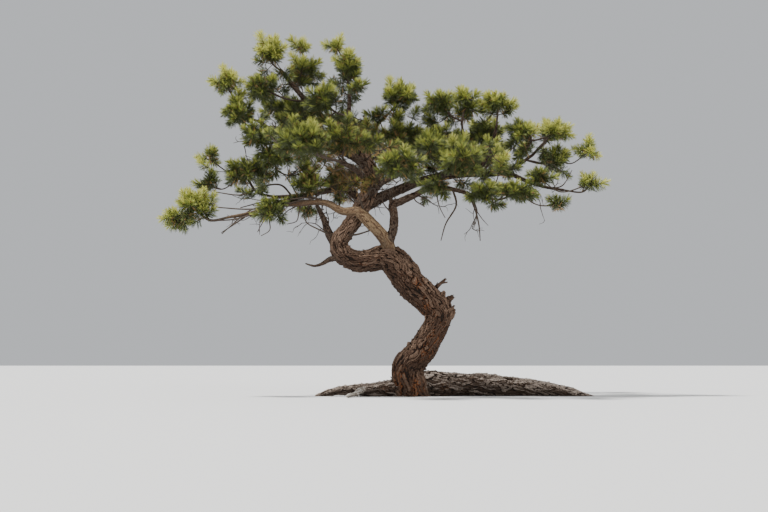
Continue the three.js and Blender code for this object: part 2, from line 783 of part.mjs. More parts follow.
  // A shoot: a star of needles round a core, whose rear face runs on as the twig back to its node.
  shootSolid(tuft) {
    const core = mergeVertices(positionOnly(new THREE.IcosahedronGeometry(1, 0)), 1e-3);
    const corners = core.attributes.position;
    const faces = core.index.array;
    const cornerAt = (corner) => new THREE.Vector3().fromBufferAttribute(corners, corner);
    const normalOf = (face) => {
      const sum = new THREE.Vector3();
      for (const corner of face) sum.add(cornerAt(corner));
      return sum.normalize();
    };
    const rear = [faces[0], faces[1], faces[2]];
    const back = new THREE.Quaternion().setFromUnitVectors(normalOf(rear), new THREE.Vector3(0, 0, -1));
    const upright = new THREE.Quaternion().setFromUnitVectors(new THREE.Vector3(0, 0, 1), tuft.axis);
    const spin = new THREE.Quaternion().setFromAxisAngle(new THREE.Vector3(0, 0, 1), tuft.spin);
    const turn = upright.multiply(spin);
    const positions = [];
    const index = [];
    for (let corner = 0; corner < corners.count; corner += 1) {
      const point = cornerAt(corner).applyQuaternion(back);
      point.z *= CORE_STRETCH;
      positions.push(point.applyQuaternion(turn).multiplyScalar(CORE_RADIUS).add(tuft.middle));
    }
    for (let i = 3; i < faces.length; i += 3) {
      const [a, b, c] = [faces[i], faces[i + 1], faces[i + 2]];
      const outward = normalOf([a, b, c]).applyQuaternion(back);
      if (outward.z < BARE_BACK) {
        index.push(a, b, c);
        continue;
      }
      outward.z += NEEDLE_SWEEP;
      outward.normalize().multiplyScalar(tuft.reach * (0.88 + 0.24 * this.random()));
      outward.z *= BRUSH_STRETCH;
      const arm = outward.applyQuaternion(turn);
      const peak = positions.length;
      positions.push(tuft.middle.clone().addScaledVector(arm, this.needleShare(tuft, arm)));
      index.push(a, b, peak, b, c, peak, c, a, peak);
    }
    // The twig's rings, from the core back to the bend and to the node.
    const [from, bend] = tuft.twig.points;
    const [fromRadius, bendRadius] = tuft.twig.radii;
    let ring = rear;
    let centre = new THREE.Vector3();
    for (const corner of rear) centre.addScaledVector(positions[corner], 1 / 3);
    const heading = bend.clone().sub(from).normalize();
    const straight = heading.angleTo(tuft.middle.clone().sub(bend)) < 1e-3;
    const steps = [{ point: from, radius: fromRadius }];
    if (!straight) steps.unshift({ point: bend, radius: bendRadius });
    for (const step of steps) {
      const next = ring.map((corner) => {
        const arm = positions[corner].clone().sub(centre).projectOnPlane(heading).normalize();
        return positions.push(step.point.clone().addScaledVector(arm, step.radius)) - 1;
      });
      for (let k = 0; k < 3; k += 1) {
        const m = (k + 1) % 3;
        index.push(ring[k], ring[m], next[m], ring[k], next[m], next[k]);
      }
      ring = next;
      centre = step.point;
    }
    index.push(...ring);
    const shoot = new THREE.BufferGeometry();
    const numbers = positions.flatMap((point) => point.toArray());
    shoot.setAttribute("position", new THREE.Float32BufferAttribute(numbers, 3));
    shoot.setIndex(index);
    return solidOf(shoot);
  }

  solid() {
    const parts = this.tufts.map((tuft) => this.shootSolid(tuft));
    for (const twig of this.twigs.filter((row) => !row.shoot)) {
      const line = new BentLine(twig.points);
      const isStem = twig.nodes[0] === 0;
      const stemFoot = Math.min(this.bough.radius(this.spec.at) * 0.9, twig.radii[0] * 1.25);
      const foot = isStem ? stemFoot : twig.radii[0];
      parts.push(tubeSolid(line, [foot, twig.radii[1], twig.radii[2] * 0.8], 3, 2));
    }
    const joined = wasm.Manifold.union(parts).simplify(FOLIAGE_DETAIL);
    return largestPiece(joined.subtract(this.bough.solid(CLEARANCE)).simplify(0.05));
  }
}

function positionOnly(geometry) {
  geometry.deleteAttribute("normal");
  geometry.deleteAttribute("uv");
  return geometry;
}

// The ground: everything below it is cut away, flat.
function underground() {
  const size = 8000;
  const box = new THREE.BoxGeometry(size, size, size);
  box.translate(0, 0, -size / 2);
  return solidOf(box);
}

function buildLimbs() {
  const limbs = {};
  for (const [name, spec] of Object.entries(LIMBS)) limbs[name] = new Limb(name, spec, limbs);
  return limbs;
}

// Each limb is cut back from its parent and from the limbs beside it that were made before it.
function limbSolids(limbs) {
  const ground = underground();
  const solids = {};
  for (const [name, limb] of Object.entries(limbs)) {
    let solid = limb.solid();
    for (const other of Object.keys(solids)) {
      const grown = limbs[other].solid(CLEARANCE);
      if (solid.intersect(grown).isEmpty()) continue;
      solid = solid.subtract(grown);
    }
    solid = solid.subtract(ground);
    solids[name] = largestPiece(solid.simplify(0.05));
  }
  return solids;
}

function meshOf(name, solid, finish) {
  const mesh = new THREE.Mesh(geometryOf(solid), new THREE.MeshStandardMaterial(finish));
  mesh.name = name;
  return mesh;
}

const limbs = buildLimbs();
const space = new Space();
for (const limb of Object.values(limbs)) space.addLimb(limb);
const masses = Object.entries(MASSES).map(([name, spec]) => new Mass(name, spec, limbs, space));

const pine = new THREE.Group();
const wood = new THREE.Group();
const foliage = new THREE.Group();
for (const [name, solid] of Object.entries(limbSolids(limbs))) {
  wood.add(meshOf(name, solid, FINISHES[name] ?? BARK));
}
for (const mass of masses) {
  foliage.add(meshOf(mass.name, mass.solid(), NEEDLES));
}
pine.add(wood, foliage);

export default pine;
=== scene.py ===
"""Looks of a wind-shaped pine that grows on open ground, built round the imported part.

The limbs follow the lines of the part's source and get their bark in relief. The masses of needles grow
by the source's seeded rule, which is carried on here to finer twigs. Geometry Nodes set the needles, buds
and loose bark. Lines of growth are in millimetres, as in the source, and meshes are in metres.
"""

import json
import logging
import math
from dataclasses import dataclass, field
from enum import Enum

import bmesh
import bpy
import numpy as np
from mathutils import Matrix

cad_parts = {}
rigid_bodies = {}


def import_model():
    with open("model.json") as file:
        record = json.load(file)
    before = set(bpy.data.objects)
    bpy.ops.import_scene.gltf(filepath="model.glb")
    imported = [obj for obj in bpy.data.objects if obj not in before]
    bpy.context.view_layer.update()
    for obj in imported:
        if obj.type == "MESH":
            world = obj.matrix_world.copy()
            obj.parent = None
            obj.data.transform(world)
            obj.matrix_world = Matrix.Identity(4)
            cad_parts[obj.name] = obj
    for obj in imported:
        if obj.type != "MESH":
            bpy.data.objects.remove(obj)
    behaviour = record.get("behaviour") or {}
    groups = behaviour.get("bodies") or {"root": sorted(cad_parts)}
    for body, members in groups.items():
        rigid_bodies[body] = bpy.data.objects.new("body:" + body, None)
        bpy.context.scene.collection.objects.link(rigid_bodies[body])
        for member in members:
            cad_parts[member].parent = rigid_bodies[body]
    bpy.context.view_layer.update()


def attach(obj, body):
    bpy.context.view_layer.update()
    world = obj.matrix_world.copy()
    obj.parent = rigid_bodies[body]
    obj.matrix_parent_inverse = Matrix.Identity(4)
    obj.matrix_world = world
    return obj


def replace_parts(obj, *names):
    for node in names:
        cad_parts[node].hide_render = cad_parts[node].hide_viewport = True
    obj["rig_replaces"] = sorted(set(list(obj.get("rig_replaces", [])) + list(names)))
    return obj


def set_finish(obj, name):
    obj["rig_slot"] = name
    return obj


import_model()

log = logging.getLogger("pine")

MM = 0.001
GOLDEN_ANGLE = math.pi * (3 - math.sqrt(5))

# The picture's frame, the camera's place in it and the picture's scale, in pixels.
IMAGE_WIDTH = 768
FOCAL_PIXELS = 996
CAMERA_PLACE = (-0.280, -10.0, 0.350)
CAMERA_PITCH = math.radians(6)
SENSOR_WIDTH = 36

# The source's rule of growth: lengths in millimetres, and shares.
SOCKET = 30
STRETCH_LENGTH = 70
HEART_DROP = 0.3
TUFT_DROP = 0.14
TUFT_ROOM = 6
TUFT_REACH_LEAST = 108
TUFT_REACH_MOST = 148
TUFT_REACH_SHARE = 0.61
TUFT_REACH_SPREAD = 0.07
CORE_RADIUS = 40
CORE_STRETCH = 1.6
SHOOT_TRIES = 20
SHOOT_SHRINK = 0.78
SHOOT_SPACING = 0.78
SHOOT_SPACING_LEAST = 0.7
MASS_SPACING = 0.8
INNER_SHARE = 0.45
RISE_SPAN = 1.7
RISE_START = 0.2
GOLDEN_SHARE = 0.618034
LEAST_HALF = 10
TWIG_RADIUS = 6.5
TWIG_THICKENING = 0.42
TWIG_SAG = 0.14
TWIG_TRIES = 10
TWIG_WANDER = 0.12
WANDER_GROWTH = 0.6
BOUGH_PULL = 0.12
SKIN_SHARE_MOST = 0.6
STRAIGHT_TWIG = 150
TWIG_ROOM = 8
DETOUR_COST = 0.35
END_COST = 60
AXIS_OUTWARD = 0.2
AXIS_UPWARD = 0.35


@dataclass(frozen=True)
class LimbSpec:
    """One limb of the source's table, in millimetres.

    Args:
        parent: The limb that carries it. The trunk has none.
        at: Its start, as a share of the parent's length.
        radii: Radii spread evenly along its length.
        through: The points that its middle line passes after its start on the parent.
        gnarl: Depth of its broad ribs, as a share of the radius.
        stubs: Broken side limbs, each as from, to and radius.
        forks: Side twigs, each as a share of the length, an end point and a radius.
    """

    parent: str
    at: float
    radii: list[float]
    through: list[tuple[float, float, float]]
    gnarl: float = 0.04
    stubs: tuple = ()
    forks: tuple = ()


LIMBS: dict[str, LimbSpec] = {
    "trunk": LimbSpec("", 0, [
        178, 159, 155, 147, 129, 124, 123, 127, 136, 145, 150, 143, 118, 105, 97, 92, 80,
    ], [
        (10, 0, -135), (0, 0, 0), (-20, -10, 120), (-45, -28, 270), (0, -38, 350), (70, -48, 425),
        (170, -60, 570), (240, -60, 695), (270, -55, 815), (190, -46, 930), (80, -36, 1035),
        (-20, -25, 1125), (-110, -12, 1250), (-200, 0, 1350), (-290, 8, 1385), (-420, 20, 1360),
        (-575, 38, 1365), (-715, 55, 1455), (-730, 60, 1560), (-665, 60, 1655),
    ], gnarl=0.055, stubs=(
        ((240, -30, 1080), (335, -60, 1162), 16), ((290, -46, 1124), (352, -56, 1130), 9),
        ((330, -50, 935), (405, -60, 985), 30),
    )),
    "leader": LimbSpec("trunk", 1, [76, 80, 84, 76, 62, 42], [
        (-585, 55, 1765), (-505, 40, 1905), (-435, 10, 2055), (-400, -10, 2220), (-475, 0, 2385),
        (-585, 20, 2525),
    ]),
    "left_arm": LimbSpec("trunk", 0.708, [78, 61, 60, 40, 31, 25, 20, 16, 13], [
        (-250, -20, 1530), (-320, -60, 1625), (-430, -140, 1730), (-540, -170, 1825), (-690, -170, 1835),
        (-870, -150, 1920), (-1120, -150, 1910), (-1365, -180, 1885), (-1610, -200, 1810),
        (-1855, -230, 1755),
    ]),
    "left_upper_arm": LimbSpec("leader", 0.36, [45, 32, 25, 18], [
        (-680, 120, 2105), (-925, 220, 2095), (-1175, 250, 2055), (-1445, 230, 2040),
    ]),
    "left_limb": LimbSpec("trunk", 0.924, [60, 42, 29, 18], [
        (-800, 70, 1570), (-860, 80, 1685), (-910, 60, 1820), (-970, 0, 1930),
    ]),
    "upper_left_bough": LimbSpec("leader", 0.74, [50, 37, 30, 24, 17], [
        (-625, -60, 2425), (-825, -110, 2485), (-1125, -150, 2550), (-1410, -150, 2660), (-1560, -140, 2770),
    ]),
    "top_bough": LimbSpec("leader", 1, [38, 32, 27, 17], [
        (-855, 45, 2790), (-1065, 60, 2995), (-1230, 40, 3190), (-1360, 10, 3345),
    ]),
    "spire_bough": LimbSpec("leader", 0.84, [34, 26, 15], [
        (-595, -90, 2605), (-635, -70, 2870), (-630, -40, 3105),
    ]),
    "peak_bough": LimbSpec("leader", 0.65, [34, 24, 15], [
        (-445, 110, 2535), (-365, 150, 2765), (-240, 125, 2895),
    ]),
    "right_main": LimbSpec("leader", 0.32, [62, 50, 43, 35, 27, 18, 12], [
        (-115, 60, 2095), (190, 80, 2205), (550, 60, 2250), (805, 40, 2250), (990, 40, 2250),
        (1180, 20, 2170), (1365, 0, 2105), (1555, -20, 2070),
    ]),
    "right_low_bough": LimbSpec("left_arm", 0.075, [50, 43, 40, 32, 27, 22, 16], [
        (-190, -55, 1650), (-180, -75, 1800), (-190, -85, 1910), (-120, -90, 1940), (30, -110, 2005),
        (180, -130, 2075), (430, -160, 2050), (655, -190, 1970),
    ], stubs=(((-190, -86, 1870), (-214, -92, 1978), 25),)),
    "right_up_bough": LimbSpec("right_main", 0.488, [30, 23, 15], [
        (560, 40, 2415), (550, 30, 2580), (520, 20, 2725),
    ]),
    "right_peak_bough": LimbSpec("right_main", 0.572, [26, 19, 13], [
        (760, 80, 2400), (830, 70, 2565), (880, 20, 2765),
    ]),
    "right_end_bough": LimbSpec("right_main", 0.696, [24, 18, 13], [(1115, 70, 2360), (1275, 80, 2475)]),
    "front_left_bough": LimbSpec("leader", 0.505, [40, 30, 18], [(-535, -330, 2200), (-720, -600, 2260)]),
    "front_right_bough": LimbSpec("leader", 0.43, [38, 28, 17], [(-280, -280, 2110), (-170, -500, 2120)]),
    "back_left_bough": LimbSpec("leader", 0.7, [42, 31, 18], [(-680, 350, 2545), (-930, 650, 2705)]),
    "back_right_bough": LimbSpec("leader", 0.55, [40, 29, 17], [(-195, 360, 2425), (5, 650, 2595)]),
    "right_back_bough": LimbSpec("right_main", 0.323, [32, 23, 15], [(440, 400, 2360), (665, 640, 2475)]),
    "right_front_bough": LimbSpec("right_main", 0.372, [30, 21, 14], [(365, -250, 2215), (420, -500, 2210)]),
    "root_right": LimbSpec("trunk", 0.091, [125, 112, 104, 98, 94, 84, 70, 44], [
        (130, 45, 118), (280, 60, 122), (585, 90, 116), (935, 100, 94), (1285, 90, 58), (1580, 60, 5),
        (1870, 20, -65),
    ], gnarl=0.08),
    "root_left": LimbSpec("trunk", 0.081, [100, 84, 60, 43, 34, 24], [
        (-270, -40, 74), (-470, -70, 64), (-665, -60, 66), (-815, -30, 36), (-975, 0, -16),
    ], gnarl=0.08),
    "root_bleached": LimbSpec("root_left", 0.452, [30, 29, 21, 18, 12], [
        (-515, -150, 58), (-545, -260, 32), (-605, -380, 22), (-630, -520, 16),
    ], gnarl=0.08),
    "snag": LimbSpec("trunk", 0.882, [46, 34, 22, 12, 6], [
        (-820, 50, 1375), (-910, 45, 1325), (-990, 40, 1305), (-1080, 35, 1330),
    ]),
    "dead_twig_long": LimbSpec("right_low_bough", 0.8, [11, 9, 7, 4], [
        (440, -175, 1895), (335, -170, 1705), (285, -165, 1535),
    ], gnarl=0),
    "dead_twig_forked": LimbSpec("right_low_bough", 0.93, [11, 9, 7, 4], [
        (635, -190, 1820), (665, -185, 1680), (675, -185, 1530),
    ], gnarl=0, forks=((0.45, (600, -200, 1655), 6), (0.3, (760, -150, 1690), 6))),
    "dead_twig_left": LimbSpec("left_arm", 0.87, [9, 8, 6, 4], [
        (-1715, -235, 1725), (-1800, -240, 1665), (-1890, -240, 1605),
    ], gnarl=0),
}


class Region(Enum):
    """The parts of the crown whose needles are joined into one piece."""

    LEFT = "left"
    TOP = "top"
    MIDDLE = "middle"
    FRONT = "front"
    BACK = "back"
    RIGHT_INNER = "right_inner"
    RIGHT_OUTER = "right_outer"


@dataclass(frozen=True)
class MassSpec:
    """One mass of needles of the source's table, in millimetres.

    Args:
        bough: The limb that carries it.
        at: Its start, as a share of the bough's length.
        region: The part of the crown that it belongs to.
        lumps: Each is x, y, z, half width, half depth, half height and number of shoots.
    """

    bough: str
    at: float
    region: Region
    lumps: list[tuple[float, float, float, float, float, float, int]]


MASSES: dict[str, MassSpec] = {
    "needles_left_tip": MassSpec("left_arm", 1, Region.LEFT, [
        (-2155, -240, 1895, 220, 220, 180, 5), (-2345, -200, 1780, 120, 150, 100, 2),
    ]),
    "needles_left_under": MassSpec("left_arm", 0.66, Region.LEFT, [(-1395, -290, 1845, 150, 150, 120, 3)]),
    "needles_left_fan": MassSpec("left_upper_arm", 1, Region.LEFT, [
        (-1700, 180, 2295, 230, 230, 165, 5), (-2090, 120, 2190, 135, 120, 115, 2),
        (-2100, 260, 2480, 115, 110, 115, 1),
    ]),
    "needles_upper_left": MassSpec("upper_left_bough", 1, Region.TOP, [
        (-1750, -120, 2875, 160, 200, 150, 4), (-1890, -100, 3195, 165, 160, 130, 3),
    ]),
    "needles_upper_left_low": MassSpec("upper_left_bough", 0.7, Region.LEFT, [
        (-1535, -330, 2580, 160, 180, 130, 4), (-1365, -260, 2395, 170, 170, 120, 3),
    ]),
    "needles_top": MassSpec("top_bough", 1, Region.TOP, [(-1455, 0, 3540, 175, 190, 185, 5)]),
    "needles_top_column": MassSpec("top_bough", 0.72, Region.TOP, [
        (-1110, 200, 3365, 170, 190, 210, 5), (-1170, 150, 3640, 115, 110, 105, 1),
    ]),
    "needles_top_shoulder": MassSpec("top_bough", 0.62, Region.TOP, [(-1495, -150, 3125, 150, 190, 140, 4)]),
    "needles_top_inner": MassSpec("top_bough", 0.4, Region.TOP, [(-1340, 330, 3010, 295, 220, 160, 5)]),
    "needles_spire": MassSpec("spire_bough", 1, Region.MIDDLE, [
        (-640, -40, 3380, 135, 160, 195, 4), (-765, 20, 3590, 95, 100, 105, 1),
        (-555, -170, 3090, 90, 90, 90, 1),
    ]),
    "needles_spire_shoulder": MassSpec("spire_bough", 0.62, Region.TOP, [
        (-880, -260, 2975, 160, 190, 150, 4),
    ]),
    "needles_peak": MassSpec("peak_bough", 1, Region.MIDDLE, [(-115, 100, 3100, 175, 180, 185, 5)]),
    "needles_peak_inner": MassSpec("peak_bough", 0.55, Region.MIDDLE, [
        (-95, 180, 2695, 210, 220, 135, 4), (-330, 60, 2860, 105, 100, 95, 1),
    ]),
    "needles_front_left": MassSpec("front_left_bough", 1, Region.FRONT, [
        (-1020, -850, 2400, 250, 300, 185, 7),
    ]),
    "needles_front_centre": MassSpec("front_left_bough", 0.6, Region.FRONT, [
        (-655, -560, 2470, 195, 260, 145, 4),
    ]),
    "needles_back_left": MassSpec("back_left_bough", 1, Region.BACK, [(-1215, 900, 2930, 335, 320, 225, 6)]),
    "needles_back_centre": MassSpec("back_left_bough", 0.5, Region.BACK, [
        (-655, 800, 2910, 245, 280, 175, 4),
    ]),
    "needles_back_right": MassSpec("back_right_bough", 1, Region.BACK, [(235, 950, 2785, 315, 320, 180, 6)]),
    "needles_front_right": MassSpec("front_right_bough", 1, Region.FRONT, [
        (-110, -760, 2195, 225, 280, 160, 6),
    ]),
    "needles_low_left": MassSpec("left_limb", 1, Region.LEFT, [
        (-1035, -120, 2135, 130, 160, 140, 3), (-1065, 60, 1860, 80, 80, 80, 1),
    ]),
    "needles_low_centre": MassSpec("leader", 0.5, Region.BACK, [(-755, 560, 2305, 215, 230, 140, 3)]),
    "needles_right_top": MassSpec("right_up_bough", 1, Region.RIGHT_INNER, [
        (555, 40, 2990, 135, 170, 175, 4), (300, -80, 2980, 165, 170, 130, 3),
    ]),
    "needles_right_mid": MassSpec("right_up_bough", 0.35, Region.RIGHT_INNER, [
        (180, -220, 2495, 170, 190, 130, 4), (345, -280, 2330, 160, 170, 110, 2),
        (235, -300, 2095, 150, 140, 100, 2),
    ]),
    "needles_right_peak": MassSpec("right_peak_bough", 1, Region.RIGHT_INNER, [
        (890, 10, 2995, 185, 170, 135, 4),
    ]),
    "needles_right_inner": MassSpec("right_peak_bough", 0.6, Region.RIGHT_INNER, [
        (785, 300, 2735, 220, 220, 160, 5),
    ]),
    "needles_right_crest": MassSpec("right_end_bough", 1, Region.RIGHT_OUTER, [
        (1450, 60, 2710, 165, 190, 135, 4), (1125, -40, 2680, 155, 180, 120, 3),
    ]),
    "needles_right_hang": MassSpec("right_end_bough", 0.7, Region.RIGHT_OUTER, [
        (1505, 180, 2445, 165, 170, 125, 3), (1815, 60, 2515, 125, 110, 115, 1),
    ]),
    "needles_right_outer": MassSpec("right_main", 1, Region.RIGHT_OUTER, [
        (1810, -30, 2155, 120, 120, 110, 1), (1290, -170, 2180, 140, 130, 90, 2),
    ]),
    "needles_under_right": MassSpec("right_low_bough", 1, Region.RIGHT_OUTER, [
        (705, -330, 2020, 145, 160, 120, 3), (1025, -200, 2040, 190, 160, 110, 4),
        (1455, -180, 1915, 100, 90, 80, 1),
    ]),
    "needles_right_back": MassSpec("right_back_bough", 1, Region.RIGHT_OUTER, [
        (920, 900, 2615, 280, 280, 165, 5),
    ]),
    "needles_right_front": MassSpec("right_front_bough", 1, Region.RIGHT_INNER, [
        (460, -800, 2225, 190, 260, 130, 4),
    ]),
}


# Places between the masses that only finer shoots fill, as x, y, z, half width, half depth, half height
# and number of shoots. Each grows from the mass that is nearest to it.
FILLED_GAPS: list[tuple[float, float, float, float, float, float, int]] = [
    (-1230, -100, 2265, 160, 130, 100, 4), (-910, 0, 2325, 145, 130, 80, 3),
    (-680, 120, 2220, 125, 130, 80, 2), (-340, 0, 2645, 90, 130, 140, 4),
    (-95, 50, 2855, 110, 130, 65, 2), (330, 100, 2845, 145, 130, 80, 4),
    (1110, 0, 2490, 90, 130, 90, 2), (535, -100, 2140, 120, 130, 50, 2),
    (-755, 0, 3180, 90, 130, 90, 3), (-610, 50, 3055, 90, 130, 80, 2),
    (-1320, 0, 3305, 80, 130, 70, 2), (-630, 160, 2040, 110, 110, 70, 2),
    (-330, -480, 2430, 180, 170, 110, 4), (-800, 330, 2680, 190, 180, 120, 4),
    (-50, 480, 2680, 190, 180, 110, 2), (520, 480, 2620, 180, 170, 110, 2),
    (-1280, 430, 2700, 170, 170, 110, 1), (760, -480, 2300, 170, 160, 100, 3),
    (-900, -520, 2560, 150, 150, 100, 3), (1280, 420, 2600, 150, 150, 100, 1),
    (150, -560, 2330, 150, 140, 90, 3), (-1050, 0, 2900, 200, 160, 130, 5),
    (-1300, -50, 2790, 150, 150, 110, 3), (-800, 0, 2760, 170, 160, 130, 5),
    (-560, 100, 2800, 150, 150, 120, 4), (-450, -150, 2600, 150, 150, 120, 4),
    (-1100, 100, 2450, 180, 160, 100, 4), (-200, -100, 2430, 170, 160, 100, 4),
    (-560, 220, 2400, 170, 160, 100, 4), (560, 0, 2420, 170, 160, 110, 4),
    (790, -50, 2460, 150, 150, 110, 4), (340, -50, 2600, 150, 150, 110, 3),
    (950, -120, 2310, 150, 140, 90, 3), (130, 100, 2330, 150, 150, 90, 3),
    (1250, -50, 2470, 130, 130, 90, 2), (640, 120, 2620, 150, 150, 110, 3),
    (980, 100, 2640, 130, 130, 100, 2), (-700, -620, 2560, 170, 150, 100, 3),
    (-350, -660, 2430, 150, 140, 90, 3), (160, -720, 2400, 150, 140, 90, 3),
    (470, -520, 2460, 160, 140, 100, 3), (760, -620, 2360, 140, 140, 80, 2),
    (-1250, -560, 2560, 160, 150, 100, 3), (-350, 880, 2800, 170, 150, 100, 2),
    (620, 800, 2680, 170, 160, 100, 2), (-900, 560, 2800, 160, 160, 110, 2),
    (1180, 640, 2600, 160, 150, 100, 1), (-1500, 500, 2750, 150, 140, 100, 1),
    (-300, 400, 2560, 160, 150, 100, 3), (250, 520, 2500, 160, 150, 90, 1),
    (850, 420, 2480, 150, 150, 90, 1), (-1250, 250, 2480, 160, 140, 90, 2),
    (-1478, 0, 2812, 90, 100, 70, 1), (-1302, 50, 3140, 80, 90, 60, 1),
    (-200, 100, 2870, 110, 110, 70, 2), (420, 0, 2690, 90, 100, 70, 1),
    (160, 50, 2300, 110, 100, 60, 2), (1260, 50, 2560, 90, 90, 60, 1),
    (790, -100, 2185, 100, 90, 50, 1), (-735, 50, 2960, 80, 90, 60, 1),
    (-610, -190, 2110, 120, 100, 80, 2), (-330, -210, 2220, 120, 110, 80, 2),
    (-1505, 0, 3325, 70, 90, 50, 1), (-1690, -20, 2030, 90, 90, 50, 2),
    (875, -200, 1920, 110, 90, 40, 2), (-15, 60, 2900, 70, 90, 60, 1),
    (-955, 80, 3280, 80, 90, 60, 1), (1120, 0, 2295, 90, 100, 60, 1),
    (690, -80, 2165, 90, 90, 50, 1), (-1140, -120, 2010, 110, 90, 50, 2),
    (-735, -80, 2030, 90, 90, 50, 1), (-1480, 20, 2050, 110, 90, 50, 1),
    (-2180, -230, 1735, 120, 80, 40, 2), (-1740, -110, 3055, 70, 80, 50, 2),
    (165, 0, 2795, 60, 80, 50, 1), (-2110, 130, 2320, 60, 80, 60, 1),
    (1565, 0, 2300, 70, 80, 50, 1), (-1440, -200, 2100, 90, 80, 50, 1),
    (-205, 60, 3190, 50, 80, 50, 1), (710, 0, 2815, 80, 80, 50, 1),
    (185, 60, 2010, 80, 80, 40, 1), (-810, -100, 1995, 80, 80, 40, 1),
    (-1405, -150, 2215, 50, 80, 70, 1), (-1210, 60, 3510, 60, 80, 40, 1),
    (-900, -100, 2370, 80, 90, 40, 1), (-2010, -200, 1825, 60, 80, 50, 1),
]


# Small helpers


def vector(*numbers: float) -> np.ndarray:
    """A point or direction as an array."""
    return np.array(numbers, float)


def length(arm: np.ndarray) -> float:
    """The length of one arm."""
    return math.sqrt(float(arm @ arm))


def unit(arms: np.ndarray) -> np.ndarray:
    """The same arms with a length of one."""
    return arms / np.maximum(np.linalg.norm(arms, axis=-1, keepdims=True), 1e-9)


def smooth_step(low: float, high: float, values: np.ndarray) -> np.ndarray:
    """A rise from 0 at low to 1 at high that is level at both ends."""
    share = np.clip((values - low) / (high - low), 0, 1)
    return share * share * (3 - 2 * share)


def along(row: list[float], share: np.ndarray | float) -> np.ndarray:
    """The value of an evenly spaced row at a share of its length."""
    return np.interp(np.clip(share, 0, 1), np.linspace(0, 1, len(row)), row)


class Dice:
    """The source's seeded source of numbers from 0 to 1."""

    MASK = 0xFFFFFFFF
    STEP = 0x6D2B79F5

    def __init__(self, name: str) -> None:
        """Seeds it.

        Args:
            name: What the first number is worked out from.
        """
        self.state = 7
        for letter in name:
            self.state = (self.state * 31 + ord(letter)) & self.MASK

    def roll(self) -> float:
        """The next number.

        Returns:
            A number from 0 to 1.
        """
        self.state = (self.state + self.STEP) & self.MASK
        mixed = self.state
        mixed = ((mixed ^ (mixed >> 15)) * (mixed | 1)) & self.MASK
        mixed ^= (mixed + (mixed ^ (mixed >> 7)) * (mixed | 61)) & self.MASK
        return (mixed ^ (mixed >> 14)) / (self.MASK + 1)

    def stray(self) -> np.ndarray:
        """An arm with each of its numbers from -0.5 to 0.5."""
        return vector(self.roll() - 0.5, self.roll() - 0.5, self.roll() - 0.5)


class Line:
    """A centripetal Catmull-Rom line, read by even shares of its length as the source reads it."""

    DIVISIONS = 400
    STEP = 1e-4

    def __init__(self, points: list[np.ndarray]) -> None:
        """Measures the line.

        Args:
            points: The points that it passes.
        """
        rows = np.array(points, float)
        self.padded = np.vstack([2 * rows[0] - rows[1], rows, 2 * rows[-1] - rows[-2]])
        self.spans = len(rows) - 1
        self.places = np.linspace(0, 1, self.DIVISIONS + 1)
        steps = np.diff(self.raw(self.places), axis=0)
        self.lengths = np.concatenate([[0], np.cumsum(np.linalg.norm(steps, axis=1))])

    @property
    def length(self) -> float:
        """The length of the line."""
        return float(self.lengths[-1])

    def raw(self, places: np.ndarray) -> np.ndarray:
        """Points of the line at its own parameter.

        Args:
            places: Parameters from 0 to 1.

        Returns:
            One point a row.
        """
        place = np.clip(places, 0, 1) * self.spans
        index = np.minimum(np.floor(place).astype(int), self.spans - 1)
        weight = (place - index)[:, None]
        before, start, end, after = (self.padded[index + k] for k in range(4))
        pairs = ((before, start), (start, end), (end, after))
        gap_a, gap_b, gap_c = (np.sum((q - p) ** 2, axis=1)[:, None] ** 0.25 for p, q in pairs)
        rise = (start - before) / gap_a - (end - before) / (gap_a + gap_b) + (end - start) / gap_b
        fall = (end - start) / gap_b - (after - start) / (gap_b + gap_c) + (after - end) / gap_c
        rise, fall = rise * gap_b, fall * gap_b
        square = -3 * start + 3 * end - 2 * rise - fall
        cube = 2 * start - 2 * end + rise + fall
        return start + rise * weight + square * weight**2 + cube * weight**3

    def places_at(self, shares: np.ndarray) -> np.ndarray:
        """The line's own parameters at shares of its length."""
        return np.interp(np.asarray(shares) * self.length, self.lengths, self.places)

    def points(self, shares: np.ndarray) -> np.ndarray:
        """Points at shares of its length."""
        return self.raw(self.places_at(shares))

    def tangents(self, shares: np.ndarray) -> np.ndarray:
        """Directions along the line.

        Args:
            shares: Shares of its length.

        Returns:
            One direction a row.
        """
        places = self.places_at(shares)
        ahead = self.raw(np.minimum(1, places + self.STEP))
        return unit(ahead - self.raw(np.maximum(0, places - self.STEP)))

    def frames(self, count: int) -> tuple[np.ndarray, np.ndarray, np.ndarray]:
        """Rings' places and the two arms across the line, which turn with it and don't twist.

        Args:
            count: Number of stretches between rings.

        Returns:
            Points, and the first and second arm at each.
        """
        shares = np.linspace(0, 1, count + 1)
        tangents = self.tangents(shares)
        axis = np.eye(3)[int(np.argmin(np.abs(tangents[0])))]
        side = unit(np.cross(tangents[0], axis))
        normals = [np.cross(tangents[0], side)]
        for tangent in tangents[1:]:
            normal = normals[-1] - tangent * (normals[-1] @ tangent)
            normals.append(unit(normal))
        rows = np.array(normals)
        return self.points(shares), rows, np.cross(tangents, rows)


